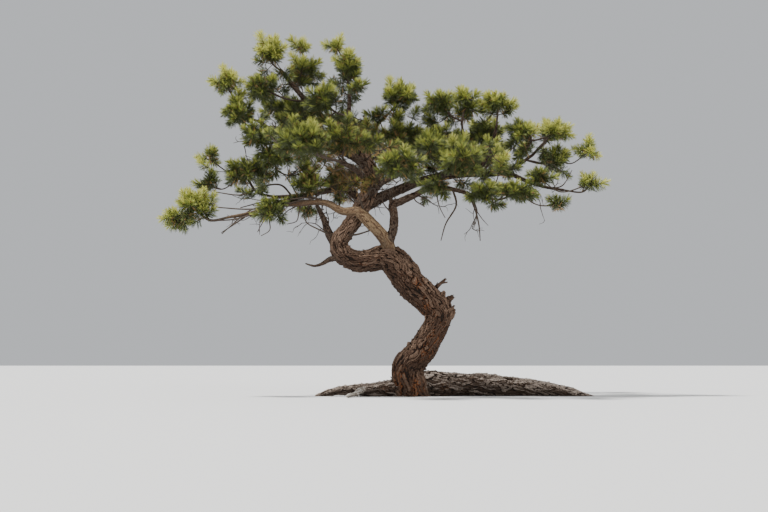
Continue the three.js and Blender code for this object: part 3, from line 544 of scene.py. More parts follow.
class Limb:
    """One limb of the source: its middle line and its radius along the line."""

    def __init__(self, name: str, spec: LimbSpec, limbs: dict[str, "Limb"]) -> None:
        """Starts the limb's line on its parent.

        Args:
            name: The name of its node.
            spec: Its row of the table.
            limbs: The limbs made before it.
        """
        self.name = name
        self.spec = spec
        points = [vector(*row) for row in spec.through]
        if spec.parent:
            parent = limbs[spec.parent]
            start = parent.point(spec.at)
            if spec.at == 1:
                start = start - parent.tangent(1) * SOCKET
            points.insert(0, start)
        self.line = Line(points)

    def point(self, share: float) -> np.ndarray:
        """The point at a share of its length."""
        return self.line.points(np.array([share]))[0]

    def tangent(self, share: float) -> np.ndarray:
        """The direction at a share of its length."""
        return self.line.tangents(np.array([share]))[0]

    def radius(self, share: float) -> float:
        """The radius at a share of its length."""
        return float(along(self.spec.radii, share))

    def stretches(self) -> list[tuple]:
        """The limb as straight stretches.

        Returns:
            Two ends, a radius and the limb's name for each.
        """
        count = max(4, math.floor(self.line.length / STRETCH_LENGTH + 0.5))
        shares = np.linspace(0, 1, count + 1)
        points = self.line.points(shares)
        radii = along(self.spec.radii, shares)
        ends = zip(points, points[1:], np.maximum(radii, np.roll(radii, -1)), strict=False)
        return [(start, end, float(radius), self.name) for start, end, radius in ends]


# Growth


def stretch_gaps(start: np.ndarray, end: np.ndarray, rows: np.ndarray) -> np.ndarray:
    """Least distances from one straight stretch to others.

    Args:
        start: One end of the stretch.
        end: Its other end.
        rows: The others, six numbers a row: both ends.

    Returns:
        One distance for each row.
    """
    u = end - start
    v = rows[:, 3:6] - rows[:, :3]
    w = start - rows[:, :3]
    uu = float(u @ u)
    vv = np.einsum("ij,ij->i", v, v)
    uv, vw = v @ u, np.einsum("ij,ij->i", v, w)
    uw = w @ u
    bottom = uu * vv - uv * uv
    crossing = np.clip((uv * vw - vv * uw) / np.where(bottom > 1e-9, bottom, 1), 0, 1)
    s = np.where(bottom > 1e-9, crossing, 0)
    t = np.clip(np.where(vv > 1e-9, (uv * s + vw) / np.maximum(vv, 1e-9), 0), 0, 1)
    if uu > 1e-9:
        s = np.clip((uv * t - uw) / uu, 0, 1)
    return np.linalg.norm(start + s[:, None] * u - rows[:, :3] - t[:, None] * v, axis=1)


@dataclass
class Tuft:
    """One shoot's needles, in millimetres.

    Args:
        middle: Their middle.
        reach: How far they reach from it.
        owner: The mass that they belong to.
        fine: Whether it is one of the finer shoots.
        heading: The direction in which its twig comes in.
        axis: The direction in which the shoot goes on.
        outward: How far out it stands in its lump, up to 1.
        rise: How high it stands in its lump, from -1 to 1.
        shaded: How much of the sky other shoots hide from it, up to 1.
    """

    middle: np.ndarray
    reach: float
    owner: str
    fine: bool = False
    heading: np.ndarray = field(init=False)
    axis: np.ndarray = field(init=False)
    outward: float = field(init=False)
    rise: float = field(init=False)
    shaded: float = field(init=False)


class Space:
    """What a shoot keeps clear of: limbs, and the shoots and twigs of the other masses."""

    def __init__(self) -> None:
        """Starts empty."""
        self.rows: list[list[float]] = []
        self.owners: list[str] = []
        self.tufts: list[Tuft] = []
        self._cache: tuple | None = None

    def add_stretch(self, start: np.ndarray, end: np.ndarray, radius: float, owner: str) -> None:
        """Adds one straight stretch.

        Args:
            start: One end.
            end: The other end.
            radius: Its radius.
            owner: The limb or mass that it belongs to.
        """
        self.rows.append([*start, *end, radius])
        self.owners.append(owner)
        self._cache = None

    def stretches(self) -> tuple[np.ndarray, np.ndarray]:
        """All stretches.

        Returns:
            Seven numbers a row, which are both ends and the radius, and the owners.
        """
        if self._cache is None:
            self._cache = (np.array(self.rows), np.array(self.owners))
        return self._cache

    def tuft_clear(
        self, tuft: Tuft, own: float, foreign: float = MASS_SPACING, core: float = CORE_RADIUS * CORE_STRETCH
    ) -> bool:
        """Whether a tuft's core misses every stretch and its middle is far from other tufts.

        Args:
            tuft: The tuft.
            own: Least distance to tufts of its own mass, as a share of both reaches together.
            foreign: The same to tufts of other masses.
            core: Half the length of the tuft's core.

        Returns:
            True where it stands clear.
        """
        rows, owners = self.stretches()
        gaps = stretch_gaps(tuft.middle, tuft.middle, rows)
        if np.any((gaps < rows[:, 6] + core + TUFT_ROOM) & (owners != tuft.owner)):
            return False
        for other in self.tufts:
            share = own if other.owner == tuft.owner else foreign
            if length(tuft.middle - other.middle) < (tuft.reach + other.reach) * share:
                return False
        return True

    def twig_clear(self, points: list[np.ndarray], radius: float, owner: str, bough: str) -> bool:
        """Whether a twig misses the limbs other than its bough, and the other masses.

        Args:
            points: Its start, bend and end.
            radius: Its radius.
            owner: Its mass.
            bough: The limb that its first stretch may touch.

        Returns:
            True where it has a clear way.
        """
        rows, owners = self.stretches()
        foreign = owners != owner
        others = [other.middle for other in self.tufts if other.owner != owner and not other.fine]
        middles = np.hstack([others, others]) if others else None
        for i, (start, end) in enumerate(zip(points, points[1:], strict=False)):
            counted = foreign & (owners != bough) if i == 0 else foreign
            gaps = stretch_gaps(start, end, rows)
            if np.any((gaps < rows[:, 6] + radius + TWIG_ROOM) & counted):
                return False
            least = CORE_RADIUS * CORE_STRETCH + radius + TWIG_ROOM
            if middles is not None and np.any(stretch_gaps(start, end, middles) < least):
                return False
        return True


@dataclass(frozen=True)
class Lump:
    """A place that shoots fill.

    Args:
        row: Its x, y, z, half width, half depth, half height and number of shoots.
    """

    row: tuple[float, float, float, float, float, float, int]

    @property
    def centre(self) -> np.ndarray:
        """Its middle."""
        return vector(*self.row[:3])

    @property
    def half(self) -> np.ndarray:
        """Half its width, depth and height."""
        return vector(*self.row[3:6])

    @property
    def heart(self) -> np.ndarray:
        """The point that its shoots grow away from."""
        return self.centre - vector(0, 0, HEART_DROP * self.half[2])

    @property
    def shoots(self) -> int:
        """Its number of shoots."""
        return self.row[6]


@dataclass
class Node:
    """A point where twigs of a mass meet, bend or end.

    Args:
        point: Its place, in millimetres.
        heading: The direction in which its twig comes in.
        path: Length of the way to it from the bough.
        parent: Number of the node before it, or -1 for none.
        end: Whether it carries a shoot.
        load: How many shoots grow from it or beyond it.
    """

    point: np.ndarray
    heading: np.ndarray
    path: float
    parent: int
    end: bool = False
    load: float = 0


@dataclass
class Twig:
    """A bent twig between three nodes.

    Args:
        nodes: Their numbers.
        tuft: The tuft at its end, or None where it has none.
        points: Its start, bend and end.
        radii: The radius at each.
    """

    nodes: tuple[int, int, int]
    tuft: Tuft | None = None
    points: list[np.ndarray] = field(default_factory=list)
    radii: list[float] = field(default_factory=list)


class Mass:
    """Grows one mass: a stem from the bough, a branch to each lump, and a bent twig to each shoot."""

    FINE_TWIG_RADIUS = 3.6
    FINE_REACH = 112
    FINE_REACH_LEAST = 0.88
    FINE_REACH_SPREAD = 0.24
    FINE_SPACING = 0.27
    FINE_MASS_SPACING = 0.36
    FINE_CORE = 24
    ROUND_TRIES = 14
    ROUND_SHOOTS = 3
    ROUND_REACH = 0.62
    ROUND_LEAN_LEAST = 0.7
    ROUND_GUIDE = (0.3, 0.2, 1)
    RIM_LEAST = 0.9
    RIM_REACH = 0.08
    LUMP_TRIES = 40
    LUMP_SHARE = 1.3
    LUMP_SHRINK = 0.42
    SHADE_FROM = 60
    SHADE_TO = 800
    SHADE_RADIUS = 110
    SHADE_WIDENING = 0.35
    SHADE_FULL = 9

    def __init__(self, name: str, spec: MassSpec, limbs: dict[str, Limb], space: Space) -> None:
        """Grows the mass by the source's rule.

        Args:
            name: The name of its node.
            spec: Its row of the table.
            limbs: The limbs of the tree.
            space: What it keeps clear of, which it is added to.
        """
        self.name = name
        self.spec = spec
        self.space = space
        self.bough = limbs[spec.bough]
        self.dice = Dice(name)
        self.lumps = [Lump(row) for row in spec.lumps]
        self.nodes: list[Node] = []
        self.twigs: list[Twig] = []
        self.tufts: list[Tuft] = []
        start = self.bough.point(spec.at)
        heading = self.bough.tangent(spec.at)
        if spec.at == 1:
            start = start - heading * SOCKET
        self.nodes.append(Node(start, heading, 0, -1))
        for lump in self.lumps:
            self.fill_lump(lump)
        self.settle(0)

    def bend(self, node: Node, to: np.ndarray, radius: float) -> np.ndarray | None:
        """Looks for a clear way for a twig.

        Args:
            node: The node that it starts from.
            to: Its end.
            radius: Its radius.

        Returns:
            Its bend, or None where all tries are blocked.
        """
        gap = to - node.point
        reach = length(gap)
        for attempt in range(TWIG_TRIES):
            stray = self.dice.stray()
            short = attempt == 0 and reach < STRAIGHT_TWIG and node.parent != -1
            wander = 0 if short else TWIG_WANDER * (1 + attempt * WANDER_GROWTH)
            middle = node.point + gap * 0.5 + stray * 2 * wander * reach
            if not short:
                middle[2] -= TWIG_SAG * reach
            skin = 0.0
            if node.parent == -1:
                middle += node.heading * BOUGH_PULL * reach
                skin = self.bough.radius(self.spec.at)
            share = min(SKIN_SHARE_MOST, skin / length(middle - node.point))
            start = node.point + (middle - node.point) * share
            if self.space.twig_clear([start, middle, to], radius, self.name, self.bough.name):
                return middle
        return None

    def add_branch(self, index: int, middle: np.ndarray, to: np.ndarray, tuft: Tuft | None) -> Node:
        """Adds a bent twig.

        Args:
            index: Number of the node that it starts from.
            middle: Its bend.
            to: Its end.
            tuft: The tuft at its end, or None where it has none.

        Returns:
            The node at its end.
        """
        node = self.nodes[index]
        first, second = middle - node.point, to - middle
        path = node.path + length(first)
        count = len(self.nodes)
        self.nodes.append(Node(middle, unit(first), path, index))
        tip = Node(to, unit(second), path + length(second), count, end=tuft is not None)
        self.nodes.append(tip)
        self.twigs.append(Twig((index, count, count + 1), tuft))
        return tip

    def nodes_for(self, point: np.ndarray) -> list[int]:
        """The four nodes that suit a twig to a point best.

        Args:
            point: The point.

        Returns:
            Their numbers, the best first.
        """
        costs = []
        for index, node in enumerate(self.nodes[1:], start=1):
            gap = point - node.point
            back = max(0.0, -float(unit(gap) @ node.heading))
            cost = length(gap) * (1 + back) + DETOUR_COST * node.path + (END_COST if node.end else 0)
            costs.append((cost, index))
        return [index for _, index in sorted(costs, key=lambda row: row[0])[:4]]

    def fill_lump(self, lump: Lump) -> None:
        """Grows a branch to the heart of a lump and the source's shoots round it.

        Args:
            lump: The lump.
        """
        heart = lump.heart
        stem_radius = TWIG_RADIUS * lump.shoots**TWIG_THICKENING
        order = [0] if len(self.nodes) == 1 else self.nodes_for(heart)
        for index in order:
            middle = self.bend(self.nodes[index], heart, stem_radius)
            if middle is not None:
                self.add_branch(index, middle, heart, None)
                break
        share = TUFT_REACH_SHARE * 2 * np.cbrt(np.prod(lump.half) / lump.shoots)
        full_reach = float(np.clip(share, TUFT_REACH_LEAST, TUFT_REACH_MOST))
        tries = lump.shoots * SHOOT_TRIES
        turn = self.dice.roll() * math.pi * 2
        made = 0
        for i in range(tries):
            if made >= lump.shoots:
                break
            reach = full_reach * (1 + TUFT_REACH_SPREAD * (2 * self.dice.roll() - 1))
            inner = INNER_SHARE if i % 3 == 2 else 1
            rise = 1 - RISE_SPAN * ((i * GOLDEN_SHARE + RISE_START) % 1)
            ring = inner * math.sqrt(max(0, 1 - rise * rise))
            angle = turn + i * GOLDEN_ANGLE
            arm = vector(ring * math.cos(angle), ring * math.sin(angle), inner * rise)
            place = lump.centre + arm * np.maximum(LEAST_HALF, lump.half - SHOOT_SHRINK * reach)
            tuft = Tuft(place - vector(0, 0, TUFT_DROP * reach), reach, self.name)
            spacing = SHOOT_SPACING if i < tries / 2 else SHOOT_SPACING_LEAST
            if self.space.tuft_clear(tuft, 0.5 * spacing) and self.add_shoot(tuft, heart):
                made += 1

    def add_shoot(self, tuft: Tuft, heart: np.ndarray) -> bool:
        """Grows a twig to a tuft from the node that suits it best.

        Args:
            tuft: The tuft.
            heart: The point that it grows away from.

        Returns:
            Whether a twig had a clear way.
        """
        radius = self.FINE_TWIG_RADIUS if tuft.fine else TWIG_RADIUS
        for index in self.nodes_for(tuft.middle):
            middle = self.bend(self.nodes[index], tuft.middle, radius)
            if middle is None:
                continue
            tip = self.add_branch(index, middle, tuft.middle, tuft)
            outward = tuft.middle - heart
            if length(outward) > 1:
                outward = unit(outward)
            tuft.heading = tip.heading
            tuft.axis = unit(tip.heading + outward * AXIS_OUTWARD + vector(0, 0, AXIS_UPWARD))
            self.dice.roll()
            self.tufts.append(tuft)
            self.space.tufts.append(tuft)
            return True
        return False

    def settle(self, first: int) -> None:
        """Thickens new twigs by the number of shoots that they carry.

        Args:
            first: Number of the first twig that is new.
        """
        for node in self.nodes:
            node.load = 0
        for node in self.nodes:
            step = node if node.end else None
            while step is not None:
                step.load += 1
                step = self.nodes[step.parent] if step.parent >= 0 else None
        for twig in self.twigs[first:]:
            thin = self.FINE_TWIG_RADIUS if twig.tuft and twig.tuft.fine else TWIG_RADIUS
            twig.points = [self.nodes[index].point for index in twig.nodes]
            loads = [max(1, self.nodes[index].load) for index in (twig.nodes[1], *twig.nodes[1:])]
            twig.radii = [thin * load**TWIG_THICKENING for load in loads]
            for i in range(2):
                self.space.add_stretch(twig.points[i], twig.points[i + 1], twig.radii[i], self.name)

    def grow_finer(self) -> None:
        """Carries the rule on to finer shoots: some round each shoot, and some that fill the lumps."""
        first = len(self.twigs)
        for tuft in list(self.tufts):
            across = unit(np.cross(tuft.axis, vector(*self.ROUND_GUIDE)))
            turn, made = self.dice.roll() * 2 * math.pi, 0
            for i in range(self.ROUND_TRIES):
                lean = self.ROUND_LEAN_LEAST + self.dice.roll()
                angle = turn + i * GOLDEN_ANGLE
                side = math.cos(angle) * across + math.sin(angle) * np.cross(tuft.axis, across)
                arm = math.cos(lean) * tuft.axis + math.sin(lean) * side
                place = tuft.middle + arm * self.ROUND_REACH * tuft.reach
                if made < self.ROUND_SHOOTS and self.within(place):
                    made += self.add_fine(place, tuft.middle)
        for lump in self.lumps:
            room = np.maximum(LEAST_HALF, lump.half - self.LUMP_SHRINK * self.FINE_REACH)
            self.scatter(lump, room, self.LUMP_SHARE * lump.shoots)
        self.settle(first)

    def scatter(self, lump: Lump, room: np.ndarray, most: float) -> None:
        """Grows finer shoots that fill a lump.

        Args:
            lump: The lump.
            room: Half the width, depth and height that their middles keep to.
            most: How many it takes.
        """
        made = 0
        for _ in range(self.LUMP_TRIES * lump.shoots):
            arm = self.dice.stray() * 2
            if length(arm) <= 1 and made < most:
                made += self.add_fine(lump.centre + arm * room, lump.heart)

    def within(self, place: np.ndarray) -> bool:
        """Tells whether a finer shoot at a place keeps about to the outline of one of the lumps.

        Args:
            place: The place.

        Returns:
            True where it does.
        """
        for lump in self.lumps:
            room = np.maximum(self.RIM_LEAST * lump.half, lump.half - self.RIM_REACH * self.FINE_REACH)
            if length((place - lump.centre) / room) <= 1:
                return True
        return False

    def distance(self, place: np.ndarray) -> float:
        """Distance from a place to the nearest shoot of the mass."""
        return min(length(tuft.middle - place) for tuft in self.tufts)

    def find_light(self, others: list[Tuft]) -> None:
        """Works out how far outside each shoot stands in its mass, and how much of the sky it sees.

        Args:
            others: All shoots of the tree.
        """
        middles = np.array([other.middle for other in others])
        for tuft in self.tufts:
            nearest = min(((tuft.middle - lump.centre) / lump.half for lump in self.lumps), key=length)
            tuft.outward = min(1, length(nearest))
            tuft.rise = float(np.clip(nearest[2], -1, 1))
            gaps = middles - tuft.middle
            near = np.hypot(gaps[:, 0], gaps[:, 1]) < self.SHADE_RADIUS + self.SHADE_WIDENING * gaps[:, 2]
            above = near & (gaps[:, 2] > self.SHADE_FROM) & (gaps[:, 2] < self.SHADE_TO)
            tuft.shaded = min(1.0, np.sum(above) / self.SHADE_FULL)

    def fill_gap(self, gap: Lump) -> None:
        """Grows finer shoots that fill a place between the masses.

        Args:
            gap: The place.
        """
        first = len(self.twigs)
        self.scatter(gap, gap.half, gap.shoots)
        self.settle(first)

    def add_fine(self, place: np.ndarray, heart: np.ndarray) -> bool:
        """Grows one finer shoot at a place where there is room for it.

        Args:
            place: The place.
            heart: The point that it grows away from.

        Returns:
            Whether it did.
        """
        reach = self.FINE_REACH * (self.FINE_REACH_LEAST + self.FINE_REACH_SPREAD * self.dice.roll())
        tuft = Tuft(place - vector(0, 0, TUFT_DROP * reach), reach, self.name, fine=True)
        clear = self.space.tuft_clear(tuft, self.FINE_SPACING, self.FINE_MASS_SPACING, self.FINE_CORE)
        return clear and self.add_shoot(tuft, heart)


class Growth:
    """The whole tree as lines: its limbs, and its masses grown to the finest twig."""

    def __init__(self) -> None:
        """Grows the limbs, then the masses by the source's rule, then the finer shoots."""
        self.limbs: dict[str, Limb] = {}
        for name, spec in LIMBS.items():
            self.limbs[name] = Limb(name, spec, self.limbs)
        self.space = Space()
        for limb in self.limbs.values():
            for stretch in limb.stretches():
                self.space.add_stretch(*stretch)
        self.masses = [Mass(name, spec, self.limbs, self.space) for name, spec in MASSES.items()]
        for mass in self.masses:
            mass.grow_finer()
        for gap in map(Lump, FILLED_GAPS):
            nearest = min(self.masses, key=lambda mass: mass.distance(gap.centre))
            nearest.fill_gap(gap)
        for mass in self.masses:
            mass.find_light(self.space.tufts)


# Meshes


class Shell:
    """Vertices, faces and point values gathered from many shapes into one mesh."""

    def __init__(self) -> None:
        """Starts empty."""
        self.points: list[np.ndarray] = []
        self.faces: list[list[int]] = []
        self.values: list[dict[str, np.ndarray]] = []
        self.count = 0

    def add(self, points: np.ndarray, faces: list[list[int]], **values: np.ndarray) -> None:
        """Adds one shape.

        Args:
            points: Its vertices, in millimetres.
            faces: Its faces, as rows of vertex numbers.
            values: Named values, one a vertex. A name that a shape lacks counts as 0 there.
        """
        self.points.append(points)
        self.faces.extend([[corner + self.count for corner in face] for face in faces])
        self.count += len(points)
        self.values.append(values)

    def build(self, name: str, smooth: bool = True) -> bpy.types.Object:
        """Makes one mesh object at the origin, in metres.

        Args:
            name: The name of the piece.
            smooth: Whether its faces are shaded as one surface.

        Returns:
            The object.
        """
        mesh = bpy.data.meshes.new(name)
        mesh.from_pydata(np.vstack(self.points) * MM, [], self.faces)
        samples = {key: row[:1] for values in self.values for key, row in values.items()}
        for key, sample in samples.items():
            rows = [
                values.get(key, np.zeros((len(points), *sample.shape[1:])))
                for points, values in zip(self.points, self.values, strict=True)
            ]
            add_values(mesh, key, np.concatenate(rows))
        mesh.polygons.foreach_set("use_smooth", [smooth] * len(mesh.polygons))
        return placed(name, mesh)


def add_values(mesh: bpy.types.Mesh, key: str, rows: np.ndarray) -> None:
    """Adds a named number, or a named arm of three numbers, to each vertex.

    Args:
        mesh: The mesh.
        key: The name.
        rows: One number or one arm a vertex.
    """
    is_arm = rows.ndim == 2
    attribute = mesh.attributes.new(key, "FLOAT_VECTOR" if is_arm else "FLOAT", "POINT")
    attribute.data.foreach_set("vector" if is_arm else "value", rows.astype(np.float32).ravel())


def placed(name: str, mesh: bpy.types.Mesh) -> bpy.types.Object:
    """Puts a mesh into the scene as an object at the origin.

    Args:
        name: The object's name.
        mesh: Its mesh.

    Returns:
        The object.
    """
    piece = bpy.data.objects.new(name, mesh)
    bpy.context.scene.collection.objects.link(piece)
    return piece


def mend(piece: bpy.types.Object, at_ground: bool = False) -> None:
    """Turns a piece's faces outwards, and cuts it off flat at the ground where asked.

    Args:
        piece: The piece.
        at_ground: Whether it is cut.
    """
    work = bmesh.new()
    work.from_mesh(piece.data)
    if at_ground:
        geometry = [*work.verts, *work.edges, *work.faces]
        bmesh.ops.bisect_plane(
            work, geom=geometry, plane_co=(0, 0, 0), plane_no=(0, 0, 1), clear_inner=True,
        )
        rims = [edge for edge in work.edges if edge.is_boundary]
        bmesh.ops.holes_fill(work, edges=rims)
    bmesh.ops.recalc_face_normals(work, faces=work.faces)
    work.to_mesh(piece.data)
    work.free()


def tube_faces(rings: int, sides: int) -> list[list[int]]:
    """Faces of a tube whose vertices run ring by ring, with a pole before the first and after the last.

    Args:
        rings: Number of rings.
        sides: Corners of a ring.

    Returns:
        The faces, as rows of vertex numbers.
    """
    ring, side = np.meshgrid(np.arange(rings - 1), np.arange(sides), indexing="ij")
    ahead = (side + 1) % sides
    near, far = 1 + ring * sides, 1 + (ring + 1) * sides
    quads = np.stack([near + side, near + ahead, far + ahead, far + side], axis=-1).reshape(-1, 4)
    turns = [(k, (k + 1) % sides) for k in range(sides)]
    last = 1 + (rings - 1) * sides
    caps = [[0, 1 + m, 1 + k] for k, m in turns] + [[last + sides, last + k, last + m] for k, m in turns]
    return quads.tolist() + caps


def tube(points: np.ndarray, radii: np.ndarray, sides: int) -> tuple[np.ndarray, list[list[int]]]:
    """A closed tapering tube along points that lie close together.

    Args:
        points: The middle of each ring.
        radii: The radius of each ring.
        sides: Corners of a ring.

    Returns:
        Vertices and faces.
    """
    tangents = unit(np.gradient(points, axis=0))
    axis = np.eye(3)[int(np.argmin(np.abs(tangents[0])))]
    normal = unit(np.cross(tangents[0], axis))
    angles = np.arange(sides) * 2 * math.pi / sides
    rows = [points[:1]]
    for point, tangent, radius in zip(points, tangents, radii, strict=True):
        normal = unit(normal - tangent * (normal @ tangent))
        across = np.cos(angles)[:, None] * normal + np.sin(angles)[:, None] * np.cross(tangent, normal)
        rows.append(point + across * radius)
    rows.append(points[-1:])
    return np.vstack(rows), tube_faces(len(points), sides)


# Where a cell's middle can lie, as shares of the cell: the margin that it keeps, and its play.
CELL_MARGIN, CELL_PLAY = 0.12, 0.76


def plates(
    u: np.ndarray, v: np.ndarray, columns: int, seed: int
) -> tuple[np.ndarray, np.ndarray, np.ndarray]:
    """Cells of a sheet that is wrapped round a limb.

    Args:
        u: Places round the limb, in cells.
        v: Places along the limb, in cells.
        columns: Whole number of cells round the limb.
        seed: Fixes where the cells lie.

    Returns:
        How far each place lies inside its cell, the cell's own number from 0 to 1, and the place along it.
    """
    rows = int(np.ceil(v.max())) + 6
    table = np.random.default_rng(seed).random((rows, columns, 3))
    across, up = np.floor(u).astype(int), np.floor(v).astype(int)
    nearest, second = np.full(u.shape, 9.0), np.full(u.shape, 9.0)
    tone, lean = np.zeros(u.shape), np.zeros(u.shape)
    for step_u in (-1, 0, 1):
        for step_v in (-1, 0, 1):
            column, row = across + step_u, up + step_v
            cell = table[(row + 2) % rows, column % columns]
            gap_v = v - (row + CELL_MARGIN + CELL_PLAY * cell[..., 1])
            gap = np.hypot(u - (column + CELL_MARGIN + CELL_PLAY * cell[..., 0]), gap_v)
            closer = gap < nearest
            second = np.where(closer, nearest, np.minimum(second, gap))
            tone = np.where(closer, cell[..., 2], tone)
            lean = np.where(closer, gap_v, lean)
            nearest = np.minimum(nearest, gap)
    return second - nearest, tone, lean


@dataclass(frozen=True)
class Spot:
    """A place on the bark where something differs.

    Args:
        place: Its middle, in millimetres.
        radius: Its size, in millimetres.
        tall: Its height for its width.
    """

    place: tuple[float, float, float]
    radius: float
    tall: float = 1

    def mask(self, points: np.ndarray) -> np.ndarray:
        """1 at the middle, falling to 0 at about twice the radius.

        Args:
            points: Points of the bark, in millimetres.

        Returns:
            How far each point lies in the place.
        """
        stretch = self.radius * vector(1, 1, self.tall)
        gaps = np.linalg.norm((points - vector(*self.place)) / stretch, axis=-1)
        return np.exp(-(gaps**2))


@dataclass(frozen=True)
class BarkRelief:
    """Bark in plates with cracks between them. Sizes are in millimetres.

    Args:
        plate_width: Width of a plate across the limb.
        plate_length: Length of a plate along the limb.
        depth: Depth of the cracks.
        crack: Width of a crack, as a share of a plate.
        pitch: Distance between vertices.
        twist: Turns of the grain per metre.
        seed: Fixes where the plates lie.
    """

    CRACK_FLOOR = 0.03
    MEAN_LEVEL = 0.7
    PLATE_STEP = 0.8
    PLATE_LEAN = 0.4
    FIBRES = 3
    FIBRE_RUN = 2.2
    FIBRE_EDGE = (0.02, 0.35)
    FIBRE_RISE = 0.45
    FIBRE_TILT = 0.3
    FIBRE_SEED = 7
    SWELL = 0.25

    plate_width: float
    plate_length: float
    depth: float
    crack: float
    pitch: float
    twist: float = 0.12
    seed: int = 1

    def heights(
        self, angles: np.ndarray, runs: np.ndarray, girth: float
    ) -> tuple[np.ndarray, np.ndarray, np.ndarray]:
        """Heights of the bark over a limb's surface.

        Args:
            angles: Places round the limb, in radians.
            runs: Places along the limb, in millimetres.
            girth: The limb's mean girth.

        Returns:
            Heights in millimetres, the level from 0 in a crack to 1 on a plate, and each plate's own number.
        """
        columns = max(5, round(girth / self.plate_width))
        turn = angles / (2 * math.pi) + self.twist * runs * MM
        wave = runs / self.plate_length
        # Two waves each bend the plates' columns and rows.
        sway = 0.42 * np.sin(wave * 2.9 + 3 * angles + self.seed) + 0.3 * np.sin(wave * 6.3 - 5 * angles)
        heave = 0.5 * np.sin(5 * angles + wave * 0.7) + 0.4 * np.sin(9 * angles - wave * 1.3 + self.seed)
        inside, tone, lean = plates(turn * columns + sway, wave + heave, columns, self.seed)
        plate = smooth_step(self.CRACK_FLOOR, self.crack, inside)
        fibres, fibre_runs = turn * columns * self.FIBRES + sway * 1.6, wave * self.FIBRE_RUN + heave * 2
        seed = self.seed + self.FIBRE_SEED
        small, fleck, tilt = plates(fibres, fibre_runs, columns * self.FIBRES, seed)
        scale = smooth_step(*self.FIBRE_EDGE, small)
        level = plate * (0.62 + 0.38 * scale)
        swell = np.sin(2 * angles + runs * 0.011) * np.sin(runs * 0.023 + self.seed)
        step = self.PLATE_STEP * (tone - 0.5) + self.PLATE_LEAN * lean
        step = step + self.FIBRE_RISE * (scale - 0.6) + self.FIBRE_TILT * tilt
        heights = self.depth * (plate - self.MEAN_LEVEL) + self.depth * plate * step
        heights += self.SWELL * self.depth * swell
        return heights, level * (0.8 + 0.2 * fleck), 0.6 * tone + 0.4 * fleck


@dataclass(frozen=True)
class Wear:
    """Where a limb's bark is worn.

    Args:
        rust: Places where it has flaked off to a rusty red.
        pale: Places where it is bleached.
        shag: Places where loose flakes stand off.
        bleach: How far it is bleached, evenly along the limb.
    """

    rust: tuple[Spot, ...] = ()
    pale: tuple[Spot, ...] = ()
    shag: tuple[Spot, ...] = ()
    bleach: tuple[float, ...] = (0,)


class LimbSkin:
    """Makes the surface of one limb: its taper, ribs, collar and bark."""

    COLLAR = 0.16
    COLLAR_REACH = 1.9
    FLARE_RISE = 95
    LEAST_RELIEF = 0.25
    UNDER_SHADE = 5

    def __init__(
        self, limb: Limb, relief: BarkRelief, wear: Wear, flare: float = 0, sunk: float = 0
    ) -> None:
        """Takes what the skin is made from.

        Args:
            limb: The limb.
            relief: Its bark.
            wear: The bark's wear.
            flare: How far the foot spreads in lobes at the ground, as a share of the radius; it also paints
                shade on the foot.
            sunk: How far the underside is let down onto the ground, as a share of the radius; it also deepens
                the painted shade underneath.
        """
        self.limb = limb
        self.relief = relief
        self.wear = wear
        self.flare = flare
        self.sunk = sunk

    def add_to(self, shell: Shell) -> None:
        """Adds the surface to a shell, with the values that its finish reads.

        Args:
            shell: The shell.
        """
        limb, relief = self.limb, self.relief
        broadest = max(limb.spec.radii)
        sides = max(10, round(2 * math.pi * broadest / relief.pitch))
        rings = max(12, round(limb.line.length / relief.pitch))
        middles, normals, binormals = limb.line.frames(rings)
        shares = np.linspace(0, 1, rings + 1)
        share, angle = np.meshgrid(shares, np.arange(sides) * 2 * math.pi / sides, indexing="ij")
        phase = len(limb.name)
        ribs = np.sin(3 * angle + share * 17 + phase) + 0.7 * np.sin(5 * angle - share * 29 + phase)
        radius = along(limb.spec.radii, share) * (1 + limb.spec.gnarl * ribs)
        low = np.exp(-np.maximum(middles[:, 2:], 0) / self.FLARE_RISE)
        radius *= 1 + self.flare * low * (0.5 + 0.5 * np.sin(5 * angle + 1.7 * np.sin(2 * angle)))
        runs = share * limb.line.length
        if limb.spec.parent:
            radius *= 1 + self.COLLAR * np.exp(-((runs / (self.COLLAR_REACH * limb.spec.radii[0])) ** 2))
        slim = np.minimum(1, radius / broadest + self.LEAST_RELIEF)
        mean_girth = 2 * math.pi * float(np.mean(limb.spec.radii))
        heights, level, tone = relief.heights(angle, runs, mean_girth)
        tip = np.sqrt(np.clip((1 - share) * limb.line.length / radius, 0, 1))
        across = np.cos(angle)[..., None] * normals[:, None] - np.sin(angle)[..., None] * binormals[:, None]
        radius *= 1 + self.sunk * np.clip(-across[..., 2], 0, 1)
        radius = (radius + heights * slim) * tip
        points = middles[:, None] + across * radius[..., None]
        wear = self.wear
        values = {
            "bark_level": level,
            "bark_tone": tone,
            "bark_rust": sum((spot.mask(points) for spot in wear.rust), np.zeros(share.shape)),
            "bark_pale": sum((spot.mask(points) for spot in wear.pale), along(wear.bleach, share)),
            "bark_shag": sum((spot.mask(points) for spot in wear.shag), np.zeros(share.shape)),
        }
        # Painted shade: bark_sky runs from 1 on top to 0 underneath, falls further under sunk roots and falls
        # at the flared foot near the ground.
        # The bark group darkens the bark where it is low and bleaches the plates where it is high, partly as
        # a painted highlight.
        sky = across[..., 2] * 0.5 + 0.5
        values["bark_sky"] = sky ** (1 + self.UNDER_SHADE * self.sunk) * (1 - self.flare * low)
        rows = {}
        for key, grid in values.items():
            rows[key] = np.concatenate([grid[0, :1], grid.ravel(), grid[-1, :1]])
        grain = np.repeat(limb.line.tangents(shares), sides, axis=0)
        rows["grain"] = np.vstack([grain[:1], grain, grain[-1:]])
        ends = np.vstack([middles[:1], points.reshape(-1, 3), middles[-1:]])
        shell.add(ends, tube_faces(rings + 1, sides), **rows)


# Node trees


